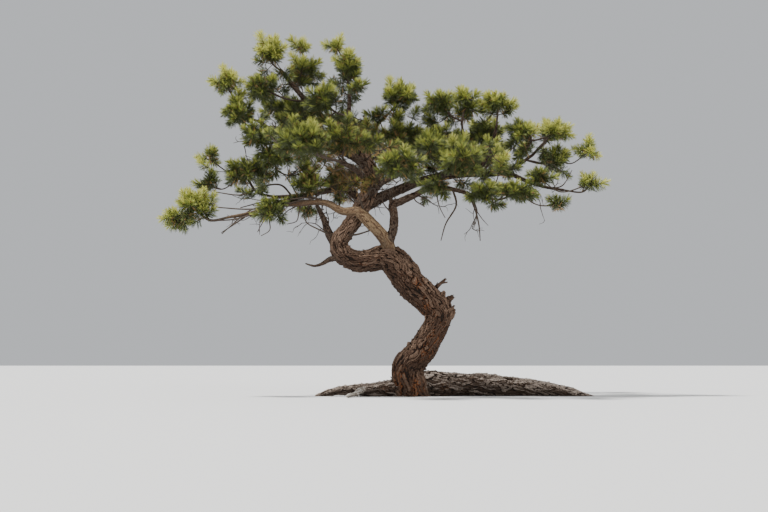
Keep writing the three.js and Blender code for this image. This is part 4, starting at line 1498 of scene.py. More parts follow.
class Graph:
    """Short ways to add and link the nodes of one tree."""

    def __init__(self, tree: bpy.types.NodeTree) -> None:
        """Takes the tree."""
        self.tree = tree

    def add(self, kind: str, inputs: dict | None = None, **settings: object) -> bpy.types.Node:
        """Adds one node.

        Args:
            kind: The node's type.
            inputs: Values, or sockets to link from, by the input's name or number.
            settings: The node's own properties.

        Returns:
            The node.
        """
        node = self.tree.nodes.new(kind)
        for key, value in settings.items():
            setattr(node, key, value)
        for key, value in (inputs or {}).items():
            socket = node.inputs[key]
            if isinstance(value, bpy.types.NodeSocket):
                self.tree.links.new(value, socket)
            else:
                socket.default_value = value
        return node

    def math(self, operation: str, *values: object) -> bpy.types.NodeSocket:
        """The result of a Math node."""
        node = self.add("ShaderNodeMath", dict(enumerate(values)), operation=operation)
        return node.outputs[0]

    def map_range(self, value: object, *bounds: float) -> bpy.types.NodeSocket:
        """A value carried from one range to another, and kept within it."""
        return self.add("ShaderNodeMapRange", dict(enumerate((value, *bounds)))).outputs[0]

    def mix(self, factor: object, first: object, second: object) -> bpy.types.NodeSocket:
        """A mix of two colours."""
        return self.add("ShaderNodeMix", {0: factor, 6: first, 7: second}, data_type="RGBA").outputs[2]


def new_group(name: str, kind: str, inputs: dict[str, tuple], outputs: dict[str, str]) -> Graph:
    """Makes a node group with named sockets, a Group Input and a Group Output.

    Args:
        name: The group's name.
        kind: ShaderNodeTree or GeometryNodeTree.
        inputs: Each input's socket type and its first value, or None for none.
        outputs: Each output's socket type.

    Returns:
        The group's graph.
    """
    tree = bpy.data.node_groups.new(name, kind)
    for label, (socket_type, value) in inputs.items():
        socket = tree.interface.new_socket(label, in_out="INPUT", socket_type=socket_type)
        if value is not None:
            socket.default_value = value
    for label, socket_type in outputs.items():
        tree.interface.new_socket(label, in_out="OUTPUT", socket_type=socket_type)
    return Graph(tree)


FLOAT, COLOUR, GEOMETRY = "NodeSocketFloat", "NodeSocketColor", "NodeSocketGeometry"


def rgba(colour: tuple[float, float, float]) -> tuple[float, float, float, float]:
    """A colour with full cover."""
    return (*colour, 1.0)


def new_material(name: str) -> tuple[bpy.types.Material, bpy.types.Node]:
    """A new material and its shader.

    Args:
        name: The material's name.

    Returns:
        Both.
    """
    material = bpy.data.materials.new(name)
    material.use_nodes = True
    return material, material.node_tree.nodes["Principled BSDF"]


BARK_GROUP = "bark_tones"


def bark_group() -> bpy.types.NodeTree:
    """The shader group that colours bark: dark cracks, rusty edges, plates bleached on top partly as a
    painted highlight, and painted shade below.

    Returns:
        The group.
    """
    graph = new_group(
        BARK_GROUP, "ShaderNodeTree",
        {
            "Crack": (COLOUR, None), "Rust": (COLOUR, None), "Plate": (COLOUR, None),
            "Weathered": (COLOUR, None), "Rustiness": (FLOAT, 0.5), "Weathering": (FLOAT, 0.5),
            "Grain": (FLOAT, 60.0),
        },
        {"Colour": COLOUR, "Height": FLOAT, "Roughness": FLOAT},
    )
    entry = graph.add("NodeGroupInput").outputs
    values = {
        key: graph.add("ShaderNodeAttribute", attribute_name=f"bark_{key}").outputs["Fac"]
        for key in ("level", "tone", "rust", "pale", "sky")
    }
    place = graph.add("ShaderNodeTexCoord").outputs["Object"]
    grain = graph.add("ShaderNodeTexNoise", {"Vector": place, "Scale": entry["Grain"], "Detail": 5.0})
    broad = graph.add("ShaderNodeTexNoise", {"Vector": place, "Scale": 3.1, "Detail": 2.0})
    fleck = grain.outputs["Fac"]
    patch = broad.outputs["Fac"]
    level = graph.math("ADD", values["level"], graph.map_range(fleck, 0.3, 0.7, -0.16, 0.16))
    rusty = graph.math("ADD", values["rust"], graph.map_range(patch, 0.5, 0.7, 0.0, 0.3))
    rusty = graph.math("MULTIPLY", rusty, graph.map_range(fleck, 0.38, 0.6, 0.3, 1.25))
    rusty = graph.math("MULTIPLY", rusty, graph.map_range(values["tone"], 0.35, 0.62, 0.2, 1.15))
    rusty = graph.math("MULTIPLY", rusty, entry["Rustiness"])
    spread = graph.math("MINIMUM", rusty, 1.0)
    plate_from = graph.map_range(spread, 0.0, 1.0, 0.2, 0.72)
    plate_to = graph.math("ADD", plate_from, 0.3)
    # Plates that face the sky are bleached more: partly real weathering, partly a painted highlight on the
    # lit top.
    bleach_and_top_light = graph.math("MULTIPLY", values["sky"], graph.map_range(fleck, 0.35, 0.65, 0.55, 1.0))
    bleach_and_top_light = graph.math("ADD", bleach_and_top_light, graph.map_range(values["tone"], 0.15, 0.85, -0.55, 0.6))
    bleach_and_top_light = graph.math("MULTIPLY", bleach_and_top_light, entry["Weathering"])
    bleach_and_top_light = graph.map_range(graph.math("ADD", bleach_and_top_light, values["pale"]), 0.0, 1.0, 0.0, 1.0)
    plate = graph.mix(bleach_and_top_light, entry["Plate"], entry["Weathered"])
    redness = graph.map_range(spread, 0.0, 0.6, 0.2, 1.0)
    redness = graph.math("MULTIPLY", redness, graph.map_range(level, 0.08, 0.36, 0.0, 1.0))
    edge = graph.mix(redness, entry["Crack"], entry["Rust"])
    share = graph.add("ShaderNodeMapRange", {0: level, 1: plate_from, 2: plate_to}).outputs[0]
    colour = graph.mix(share, edge, plate)
    shade = graph.map_range(fleck, 0.3, 0.7, 0.58, 1.3)
    # Painted shade: the bark darkens where bark_sky is low, on undersides, under sunk roots and at the flared
    # foot.
    shade = graph.math("MULTIPLY", shade, graph.map_range(values["sky"], 0.1, 0.65, 0.5, 1.0))
    toned = graph.add("ShaderNodeVectorMath", {0: colour, 3: shade}, operation="SCALE").outputs[0]
    height = graph.math("ADD", graph.math("MULTIPLY", fleck, 0.6), graph.math("MULTIPLY", level, 0.4))
    roughness = graph.map_range(fleck, 0.3, 0.7, 0.8, 0.97)
    graph.add("NodeGroupOutput", {"Colour": toned, "Height": height, "Roughness": roughness})
    return graph.tree


@dataclass(frozen=True)
class BarkFinish:
    """A finish of bark or bare wood.

    Args:
        slot: The record's material slot that it stands for.
        name: The material's name.
        crack: Colour in the cracks.
        rust: Colour of the cracks' edges and of flaked places.
        plate: Colour of a plate.
        weathered: Colour of a plate that is bleached, laid most on the sky-facing side, partly as a painted
            highlight.
        rustiness: How far the rusty edges spread.
        weathering: How much is bleached, most on the sky-facing side, partly as a painted highlight.
        grain: Scale of the fine grain, per metre.
        bump: Strength of the fine grain.
    """

    slot: str
    name: str
    crack: tuple[float, float, float]
    rust: tuple[float, float, float]
    plate: tuple[float, float, float]
    weathered: tuple[float, float, float]
    rustiness: float = 0.6
    weathering: float = 0.6
    grain: float = 60
    bump: float = 0.5

    def material(self) -> bpy.types.Material:
        """Makes the material from the bark's shader group, which the first finish makes.

        Returns:
            The material, which pieces of the same finish share.
        """
        if self.name in bpy.data.materials:
            return bpy.data.materials[self.name]
        material, shader = new_material(self.name)
        graph = Graph(material.node_tree)
        group = graph.tree.nodes.new("ShaderNodeGroup")
        group.node_tree = bpy.data.node_groups.get(BARK_GROUP) or bark_group()
        for socket in group.inputs:
            value = getattr(self, socket.name.lower())
            socket.default_value = rgba(value) if isinstance(value, tuple) else value
        bump = graph.add(
            "ShaderNodeBump", {"Strength": self.bump, "Distance": 0.004, "Height": group.outputs["Height"]},
        )
        links = material.node_tree.links
        links.new(group.outputs["Colour"], shader.inputs["Base Color"])
        links.new(group.outputs["Roughness"], shader.inputs["Roughness"])
        links.new(bump.outputs["Normal"], shader.inputs["Normal"])
        shader.inputs["Specular IOR Level"].default_value = 0.25
        return material


@dataclass(frozen=True)
class PlainFinish:
    """A finish with one plain colour, for what is small and repeated thousands of times.

    Args:
        slot: The record's material slot that it stands for.
        name: The material's name.
        colour: Its colour.
        roughness: How dull it is, up to 1.
        specular: How much it glints.
    """

    slot: str
    name: str
    colour: tuple[float, float, float]
    roughness: float = 0.5
    specular: float = 0.4

    def material(self) -> bpy.types.Material:
        """Makes the material.

        Returns:
            The material.
        """
        material, shader = new_material(self.name)
        shader.inputs["Base Color"].default_value = rgba(self.colour)
        shader.inputs["Roughness"].default_value = self.roughness
        shader.inputs["Specular IOR Level"].default_value = self.specular
        return material


class Shade(Enum):
    """The plain colours that the needles are dealt, from the sunlit to the dead."""

    LIME = PlainFinish("needles", "needles_lime", (0.62, 0.62, 0.17))
    OLIVE = PlainFinish("needles", "needles_olive", (0.4, 0.425, 0.085))
    GREEN = PlainFinish("needles", "needles_green", (0.185, 0.22, 0.045))
    DARK = PlainFinish("needles", "needles_dark", (0.06, 0.075, 0.02))
    STRAW = PlainFinish("needles", "needles_straw", (0.33, 0.21, 0.085), 0.7, 0.2)

    @property
    def number(self) -> int:
        """Its place in the order."""
        return list(Shade).index(self)


# What repeats: needles, buds and loose bark


def grown(piece: bpy.types.Object, tree: bpy.types.NodeTree, values: dict[str, object]) -> bpy.types.Object:
    """Runs a Geometry Nodes tree on a piece and keeps what it makes as a plain mesh.

    Args:
        piece: The piece that carries the tree, which is replaced.
        tree: The tree.
        values: The modifier's inputs by their names.

    Returns:
        The new piece, with the same name.
    """
    modifier = piece.modifiers.new(tree.name, "NODES")
    modifier.node_group = tree
    for item in tree.interface.items_tree:
        if item.in_out == "INPUT" and item.name in values:
            modifier[item.identifier] = values[item.name]
    depsgraph = bpy.context.evaluated_depsgraph_get()
    mesh = bpy.data.meshes.new_from_object(piece.evaluated_get(depsgraph))
    piece.modifiers.clear()
    name = piece.name
    bpy.data.objects.remove(piece)
    mesh.name = name
    return placed(name, mesh)


class Setting:
    """Parts that the trees of needles, buds and flakes share."""

    def __init__(self, name: str, inputs: dict[str, tuple]) -> None:
        """Starts a tree with the geometry and some named inputs.

        Args:
            name: The tree's name.
            inputs: The type and first value of each input.
        """
        sockets = {"Geometry": (GEOMETRY, None), **inputs, "Seed": ("NodeSocketInt", 1)}
        self.graph = new_group(name, "GeometryNodeTree", sockets, {"Geometry": GEOMETRY})
        self.entry = self.graph.add("NodeGroupInput").outputs

    def read(self, name: str, data_type: str = "FLOAT") -> bpy.types.NodeSocket:
        """A named value of the geometry."""
        node = self.graph.add("GeometryNodeInputNamedAttribute", {"Name": name}, data_type=data_type)
        return node.outputs[0]

    def random(self, low: float, high: float, offset: int) -> bpy.types.NodeSocket:
        """A number between two, from the tree's seed.

        Args:
            low: The least.
            high: The most.
            offset: Tells this number from the tree's others.

        Returns:
            The number.
        """
        seed = self.graph.math("ADD", self.entry["Seed"], offset)
        node = self.graph.add("FunctionNodeRandomValue", {2: low, 3: high, 8: seed}, data_type="FLOAT")
        return node.outputs[1]

    def turned(self, rotation: object, axis: tuple, angle: object) -> bpy.types.NodeSocket:
        """A rotation that is turned further about one of its own axes.

        Args:
            rotation: The rotation.
            axis: The axis.
            angle: How far it turns, in radians.

        Returns:
            The turned rotation.
        """
        turn = self.graph.add("FunctionNodeAxisAngleToRotation", {"Axis": axis, "Angle": angle})
        node = self.graph.add(
            "FunctionNodeRotateRotation", {0: rotation, 1: turn.outputs[0]}, rotation_space="LOCAL",
        )
        return node.outputs[0]

    def aligned(
        self, direction: object, axis: str = "Z", rotation: object = (0, 0, 0), pivot: str = "AUTO"
    ) -> bpy.types.NodeSocket:
        """A rotation whose axis points in a direction.

        Args:
            direction: The direction.
            axis: The axis that points.
            rotation: What is turned.
            pivot: The axis that it turns about, or AUTO for any.

        Returns:
            The turned rotation.
        """
        inputs = {"Rotation": rotation, "Vector": direction}
        node = self.graph.add("FunctionNodeAlignRotationToVector", inputs, axis=axis, pivot_axis=pivot)
        return node.outputs[0]

    def finish(self, points: object, form: object, rotation: object, scale: object, materials: list) -> None:
        """Sets the form on the points, makes it real, gives it its materials and ends the tree.

        Args:
            points: The points.
            form: The object that is set on each.
            rotation: Its rotation there.
            scale: Its scale there.
            materials: One material input, or several that are dealt by the value named shade.
        """
        graph = self.graph
        shape = graph.add("GeometryNodeObjectInfo", {"Object": form}).outputs["Geometry"]
        instances = graph.add(
            "GeometryNodeInstanceOnPoints",
            {"Points": points, "Instance": shape, "Rotation": rotation, "Scale": scale},
        )
        made = graph.add("GeometryNodeRealizeInstances", {0: instances.outputs[0]}).outputs[0]
        for number, material in enumerate(materials):
            inputs = {"Geometry": made, "Material": material}
            if len(materials) > 1:
                same = graph.add(
                    "FunctionNodeCompare", {0: self.read("shade"), 1: float(number), 12: 0.4},
                    data_type="FLOAT", operation="EQUAL",
                )
                inputs["Selection"] = same.outputs[0]
            made = graph.add("GeometryNodeSetMaterial", inputs).outputs[0]
        graph.add("NodeGroupOutput", {"Geometry": made})


def needle_tree() -> bpy.types.NodeTree:
    """The tree that sets needles along shoots, close and leaning forward at the tip, wide at the rear.

    Returns:
        The tree.
    """
    shades = {shade.name: ("NodeSocketMaterial", None) for shade in Shade}
    setting = Setting(
        "needles_on_shoots",
        {
            "Needle": ("NodeSocketObject", None), "Spacing": (FLOAT, 0.0004), "Rear Tilt": (FLOAT, 1.45),
            "Tip Tilt": (FLOAT, 0.4), "Tilt Spread": (FLOAT, 0.36), "Shortest": (FLOAT, 0.72),
            "Dry Share": (FLOAT, 0.12), "Width": (FLOAT, 0.1), "Top Light": (FLOAT, 0.9), **shades,
        },
    )
    graph, entry = setting.graph, setting.entry
    lines = graph.add("GeometryNodeMeshToCurve", {0: entry["Geometry"]}).outputs[0]
    spacing = {"Curve": lines, "Length": entry["Spacing"]}
    spread = graph.add("GeometryNodeCurveToPoints", spacing, mode="LENGTH")
    share = setting.read("share")
    lean = graph.math("POWER", share, 1.2)
    tilt = graph.add("ShaderNodeMapRange", {0: lean, 3: entry["Rear Tilt"], 4: entry["Tip Tilt"]}).outputs[0]
    tilt = graph.math("ADD", tilt, graph.math("MULTIPLY", entry["Tilt Spread"], setting.random(-1.0, 1.0, 1)))
    index = graph.add("GeometryNodeInputIndex").outputs[0]
    round_shoot = graph.math("MULTIPLY", index, GOLDEN_ANGLE)
    round_shoot = graph.math("ADD", round_shoot, setting.random(-0.3, 0.3, 2))
    rotation = setting.aligned(setting.read("axis", "FLOAT_VECTOR"))
    rotation = setting.turned(rotation, (0, 0, 1), round_shoot)
    rotation = setting.turned(rotation, (0, 1, 0), tilt)
    rotation = setting.turned(rotation, (0, 0, 1), setting.random(-0.9, 0.9, 3))
    size = graph.math("MULTIPLY", setting.read("reach"), setting.random(0.0, 1.0, 4))
    size = graph.math("MULTIPLY", size, graph.math("SUBTRACT", 1.0, entry["Shortest"]))
    size = graph.math("ADD", size, graph.math("MULTIPLY", setting.read("reach"), entry["Shortest"]))
    size = graph.math("MULTIPLY", size, graph.map_range(share, 0.0, 1.0, 1.0, 0.86))
    rear = graph.map_range(share, 0.0, 0.35, 1.0, 0.0)
    dry_chance = graph.math("MULTIPLY", rear, entry["Dry Share"])
    dry_chance = graph.math("ADD", dry_chance, setting.read("dryness"))
    dry = graph.math("LESS_THAN", setting.random(0.0, 1.0, 5), dry_chance)
    pointing = graph.add("FunctionNodeRotateVector", {0: (0, 0, 1), 1: rotation}).outputs[0]
    upward = graph.add("ShaderNodeSeparateXYZ", {0: pointing}).outputs[2]
    shade = graph.math("ADD", setting.read("shade"), setting.random(-1.0, 1.0, 6))
    shade = graph.math("SUBTRACT", shade, graph.math("MULTIPLY", upward, entry["Top Light"]))
    shade = graph.math("ROUND", graph.math("SUBTRACT", shade, graph.map_range(share, 0.1, 0.9, -0.8, 0.95)))
    shade = graph.math("MAXIMUM", graph.math("MINIMUM", shade, float(Shade.DARK.number)), 0.0)
    shade = graph.math("MAXIMUM", shade, graph.math("MULTIPLY", dry, float(Shade.STRAW.number)))
    points = graph.add(
        "GeometryNodeStoreNamedAttribute", {"Geometry": spread.outputs[0], "Name": "shade", "Value": shade},
        data_type="FLOAT", domain="POINT",
    )
    materials = [entry[name] for name in shades]
    wide = {0: entry["Width"], 1: entry["Width"], 2: size}
    scale = graph.add("ShaderNodeCombineXYZ", wide).outputs[0]
    setting.finish(points.outputs[0], entry["Needle"], rotation, scale, materials)
    return graph.tree


def needle_form() -> bpy.types.Object:
    """A small bundle of needles of length one along +Z, each a narrow bowed strip with a point.

    Returns:
        The bundle.
    """
    half_width, spread, bow, count = 0.0145, 0.09, 0.032, 6
    chance = np.random.default_rng(9)
    shell = Shell()
    for number in range(count):
        tip = 0.84 + 0.16 * chance.random()
        angle = number * GOLDEN_ANGLE
        out = vector(math.cos(angle), math.sin(angle), 0)
        across = vector(-out[1], out[0], 0) * half_width
        lean = spread * math.sqrt((number + 0.5) / count)
        points = []
        for share, width in ((0.0, 0.6), (0.7, 1.0)):
            middle = out * (0.01 + lean * share + bow * math.sin(math.pi * share)) + vector(0, 0, tip * share)
            points += [middle - across * width, middle + across * width]
        points.append(out * lean + vector(0, 0, tip))
        shell.add(np.array(points) / MM, [[0, 1, 3], [0, 3, 2], [2, 3, 4]])
    return shell.build("needle_form", smooth=False)


def bud_tree() -> bpy.types.NodeTree:
    """The tree that sets a bud on the tip of each shoot.

    Returns:
        The tree.
    """
    setting = Setting(
        "buds_on_tips",
        {"Bud": ("NodeSocketObject", None), "Length": (FLOAT, 0.03), "Finish": ("NodeSocketMaterial", None)},
    )
    graph, entry = setting.graph, setting.entry
    points = graph.add("GeometryNodeMeshToPoints", {"Mesh": entry["Geometry"]}).outputs[0]
    rotation = setting.aligned(setting.read("axis", "FLOAT_VECTOR"))
    rotation = setting.turned(rotation, (0, 0, 1), setting.random(0.0, 6.28, 1))
    size = graph.math("MULTIPLY", entry["Length"], setting.random(0.7, 1.1, 2))
    setting.finish(points, entry["Bud"], rotation, size, [entry["Finish"]])
    return graph.tree


def bud_form() -> bpy.types.Object:
    """One bud of length one along +Z: a scaly point on a short neck.

    Returns:
        The bud.
    """
    shares = np.array([0, 0.15, 0.45, 0.8, 1.0])
    radii = np.array([0.14, 0.2, 0.24, 0.13, 0.02])
    middles = np.column_stack([0.03 * np.sin(9 * shares), np.zeros(5), shares])
    points, faces = tube(middles / MM, radii / MM, 5)
    shell = Shell()
    shell.add(points, faces)
    return shell.build("bud_form")


def flake_tree() -> bpy.types.NodeTree:
    """The tree that lays loose flakes on the plates of bark, along the grain and lifted at one end.

    Returns:
        The tree.
    """
    setting = Setting(
        "loose_flakes",
        {
            "Flake": ("NodeSocketObject", None), "Density": (FLOAT, 300.0), "Size": (FLOAT, 0.03),
            "Lift": (FLOAT, 0.4), "Even Share": (FLOAT, 0.3), "Lowest": (FLOAT, 0.045),
            "Finish": ("NodeSocketMaterial", None),
        },
    )
    graph, entry = setting.graph, setting.entry
    shaggy = graph.map_range(setting.read("bark_shag"), 0.2, 0.7, 0.0, 1.0)
    flaky = graph.math("ADD", shaggy, entry["Even Share"])
    on_plate = graph.math("GREATER_THAN", setting.read("bark_level"), 0.5)
    density = graph.math("MULTIPLY", graph.math("MULTIPLY", flaky, on_plate), entry["Density"])
    spread = graph.add(
        "GeometryNodeDistributePointsOnFaces",
        {"Mesh": entry["Geometry"], "Density": density, "Seed": entry["Seed"]},
    ).outputs
    place = graph.add("GeometryNodeInputPosition").outputs[0]
    height = graph.add("ShaderNodeSeparateXYZ", {0: place}).outputs["Z"]
    low = {"Geometry": spread["Points"], "Selection": graph.math("LESS_THAN", height, entry["Lowest"])}
    points = graph.add("GeometryNodeDeleteGeometry", low).outputs[0]
    rotation = setting.aligned(spread["Normal"])
    grain = setting.read("grain", "FLOAT_VECTOR")
    rotation = setting.aligned(grain, "Y", rotation, "Z")
    rotation = setting.turned(rotation, (0, 0, 1), setting.random(-0.5, 0.5, 1))
    lift = graph.math("MULTIPLY", entry["Lift"], setting.random(0.1, 1.0, 2))
    rotation = setting.turned(rotation, (1, 0, 0), lift)
    size = graph.math("MULTIPLY", entry["Size"], setting.random(0.5, 1.3, 3))
    setting.finish(points, entry["Flake"], rotation, size, [entry["Finish"]])
    return graph.tree


def flake_form() -> bpy.types.Object:
    """One flake about one long along +Y: a thin plate with a ragged, curled rim.

    Returns:
        The flake.
    """
    outline = [
        (0.05, -0.5), (0.27, -0.4), (0.33, -0.08), (0.25, 0.2), (0.3, 0.38), (0.08, 0.5),
        (-0.14, 0.4), (-0.3, 0.44), (-0.34, 0.1), (-0.26, -0.14), (-0.31, -0.36), (-0.1, -0.43),
    ]
    rim = np.array(outline)
    curl = 0.5 * np.sum(rim**2, axis=1)
    count = len(rim)
    top = np.column_stack([rim, 0.11 - curl * 0.55])
    bottom = np.column_stack([rim * 0.86, -0.02 - curl * 0.6])
    points = np.vstack([[(0, 0, 0.13)], top, bottom, [(0, 0, -0.02)]])
    faces = []
    for k in range(count):
        m = (k + 1) % count
        faces += [[0, 1 + k, 1 + m], [1 + k, 1 + count + k, 1 + count + m, 1 + m]]
        faces += [[1 + 2 * count, 1 + count + m, 1 + count + k]]
    shell = Shell()
    shell.add(points / MM, faces)
    piece = shell.build("flake_form", smooth=False)
    mend(piece)
    return piece


# The tree's pieces


def hand_over(piece: bpy.types.Object, slot: str, nodes: list[str] | tuple[str, ...]) -> None:
    """Gives a finished piece to the frame.

    Args:
        piece: The piece.
        slot: The record's material slot that it stands for.
        nodes: The nodes that it replaces.
    """
    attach(piece, "root")
    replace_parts(piece, *nodes)
    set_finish(piece, slot)
    log.info("%s: %d faces for %s", piece.name, len(piece.data.polygons), ", ".join(nodes))


def add_rod(
    shell: Shell, points: np.ndarray, radii: np.ndarray, sides: int, seed: int, pale: float = 0.0
) -> None:
    """Adds a knobbly twig with the values that its finish reads.

    Args:
        shell: What it is added to.
        points: The middle of each ring, in millimetres.
        radii: The radius of each ring.
        sides: Corners of a ring.
        seed: Fixes its knobs and tone.
        pale: How far it is bleached, from 0 to 1.
    """
    chance = np.random.default_rng(seed)
    knobs = radii * (1 + 0.12 * (chance.random(len(radii)) - 0.5))
    corners, faces = tube(points, knobs, sides)
    middles = np.vstack([points[:1], np.repeat(points, sides, axis=0), points[-1:]])
    tangents = unit(np.gradient(points, axis=0))
    count = len(corners)
    shell.add(
        corners, faces,
        bark_level=0.35 + 0.65 * chance.random(count),
        bark_tone=np.full(count, chance.random()) * 0.7 + 0.3 * chance.random(count),
        bark_rust=np.full(count, 0.35 * chance.random()),
        bark_pale=np.full(count, pale),
        # Painted shade: bark_sky is low on the twig's underside, which the bark group darkens, and high on
        # top, which it bleaches.
        bark_sky=0.5 + 0.5 * unit(corners - middles)[:, 2],
        grain=np.vstack([tangents[:1], np.repeat(tangents, sides, axis=0), tangents[-1:]]),
    )


def add_stub(shell: Shell, start: np.ndarray, end: np.ndarray, radius: float, seed: int) -> None:
    """Adds a broken-off side limb with a splintered end.

    Args:
        shell: What it is added to.
        start: Its foot, in millimetres.
        end: The middle of its broken end.
        radius: Its radius.
        seed: Fixes its splinters.
    """
    chance = np.random.default_rng(seed)
    sides, reach, heading = 22, length(end - start), unit(end - start)
    shares = np.array([0, 0.25, 0.45, 0.62, 0.78, 0.9, 1.0, 0.93, 0.8])
    swell = np.array([1.6, 1.25, 1.08, 0.98, 0.9, 0.82, 0.68, 0.4, 0.15])
    points = start + heading * (shares * reach)[:, None]
    corners = tube(points[:7], swell[:7] * radius, sides)[0]
    rings = [corners[1:-1].reshape(7, sides, 3)]
    for share, width in zip(shares[7:], swell[7:], strict=True):
        inner = (rings[0][6] - points[6]) * width / swell[6] + start + heading * share * reach
        rings.append(inner[None])
    grid = np.vstack(rings)
    splinters = (chance.random((9, sides)) - 0.4) * np.array([0, 0, 0, 0.1, 0.2, 0.5, 1.7, 1.3, 0.4])[:, None]
    grid += heading * (splinters * radius)[..., None]
    ribs = 1 + 0.1 * (chance.random(sides) - 0.5) * np.ones((9, 1))
    middles = grid.mean(axis=1, keepdims=True)
    grid = middles + (grid - middles) * ribs[..., None]
    wide = np.vstack([grid[0, :1] * 0 + start, grid.reshape(-1, 3), grid.mean(axis=1)[-1:]])
    inside = np.repeat(np.array([0, 0, 0, 0, 0, 0, 0.1, 0.3, 0.3]), sides)
    count = len(wide)
    shell.add(
        wide, tube_faces(9, sides),
        bark_level=0.2 + 0.8 * chance.random(count),
        bark_tone=chance.random(count),
        bark_rust=np.full(count, 0.15),
        bark_pale=np.concatenate([[0], inside, [0.3]]),
        # Painted shade: an even, low bark_sky darkens the whole stub a little and keeps it little bleached.
        bark_sky=np.full(count, 0.35),
        grain=np.tile(heading, (count, 1)),
    )


# Each finish's weathered colour lies most on the plates that face the sky: partly real bleaching, partly a
# painted highlight on the lit tops.
OLD_BARK = BarkFinish(
    "bark", "bark_old", crack=(0.014, 0.008, 0.005), rust=(0.23, 0.083, 0.03), plate=(0.078, 0.043, 0.027),
    weathered=(0.29, 0.19, 0.13), rustiness=0.85, weathering=0.48, grain=70, bump=0.7,
)
LIMB_BARK = BarkFinish(
    "bark", "bark_limbs", crack=(0.02, 0.012, 0.008), rust=(0.22, 0.09, 0.036), plate=(0.095, 0.064, 0.044),
    weathered=(0.2, 0.155, 0.12), rustiness=0.6, weathering=0.4, grain=90, bump=0.5,
)
TWIG_BARK = BarkFinish(
    "bark", "bark_twigs", crack=(0.035, 0.023, 0.016), rust=(0.14, 0.075, 0.04), plate=(0.085, 0.06, 0.043),
    weathered=(0.16, 0.13, 0.105), rustiness=0.5, weathering=0.5, grain=160, bump=0.3,
)
TAN_BARK = BarkFinish(
    "bark_tan", "bark_young", crack=(0.12, 0.068, 0.038), rust=(0.3, 0.155, 0.075),
    plate=(0.075, 0.052, 0.037), weathered=(0.34, 0.232, 0.13), rustiness=0.4, weathering=0.4,
    grain=90, bump=0.4,
)
ROOT_BARK = BarkFinish(
    "bark_root", "bark_roots", crack=(0.018, 0.011, 0.007), rust=(0.22, 0.1, 0.045),
    plate=(0.076, 0.049, 0.033), weathered=(0.5, 0.41, 0.34), rustiness=0.5, weathering=1,
    grain=75, bump=0.7,
)
PALE_WOOD = BarkFinish(
    "bark_pale", "wood_bleached", crack=(0.16, 0.125, 0.095), rust=(0.3, 0.21, 0.14),
    plate=(0.44, 0.39, 0.33), weathered=(0.6, 0.57, 0.52), rustiness=0.2, weathering=0.8, grain=110, bump=0.4,
)


@dataclass
class LimbWood:
    """The wood of one or more limbs with their stubs and forks, joined into one piece.

    Args:
        name: The name of the piece.
        limbs: The limbs.
        finish: The finish of the wood.
        relief: The plates of its bark.
        wear: The wear of its bark.
        at_ground: Whether it is cut off flat at the ground.
        flare: How far its foot spreads in lobes at the ground, as a share of the radius; it also paints shade
            on the foot.
        sunk: How far its underside is let down onto the ground, as a share of the radius; it also deepens the
            painted shade underneath.
    """

    STUB_SEED = 40
    FORK_SEED = 70
    SEED_STEP = 9
    FORK_SIDES = 8
    FORK_BEND = 25
    FORK_TAPER = 0.6

    name: str
    limbs: tuple[str, ...]
    finish: BarkFinish
    relief: BarkRelief
    wear: Wear = Wear()
    at_ground: bool = False
    flare: float = 0
    sunk: float = 0

    def skins(self, growth: Growth) -> list[Limb]:
        """The limbs that it shows."""
        return [growth.limbs[name] for name in self.limbs]

    def build(self, growth: Growth) -> bpy.types.Object:
        """Makes, dresses and hands over the piece.

        Args:
            growth: The grown tree.

        Returns:
            The piece.
        """
        shell = Shell()
        for number, limb in enumerate(self.skins(growth)):
            LimbSkin(limb, self.relief, self.wear, self.flare, self.sunk).add_to(shell)
            for turn, (start, end, radius) in enumerate(limb.spec.stubs):
                seed = self.STUB_SEED + self.SEED_STEP * number + turn
                add_stub(shell, vector(*start), vector(*end), radius, seed)
            for turn, fork in enumerate(limb.spec.forks):
                self.add_fork(shell, limb, fork, self.FORK_SEED + self.SEED_STEP * number + turn)
        piece = shell.build(self.name)
        mend(piece, self.at_ground)
        piece.data.materials.append(self.finish.material())
        hand_over(piece, self.finish.slot, self.limbs)
        return piece

    def add_fork(self, shell: Shell, limb: Limb, fork: tuple, seed: int) -> None:
        """Adds one side twig of a dead limb, on the source's line.

        Args:
            shell: What it is added to.
            limb: The dead limb.
            fork: A share of the limb's length, the twig's tip and its radius.
            seed: Fixes its knobs and tone.
        """
        share, end, radius = fork
        start, tip = limb.point(share), vector(*end)
        middle = (start + tip) / 2 + limb.tangent(share) * self.FORK_BEND
        shares = np.linspace(0, 1, 12)
        points = Line([start, middle, tip]).points(shares)
        add_rod(shell, points, radius * (1 - self.FORK_TAPER * shares), self.FORK_SIDES, seed)


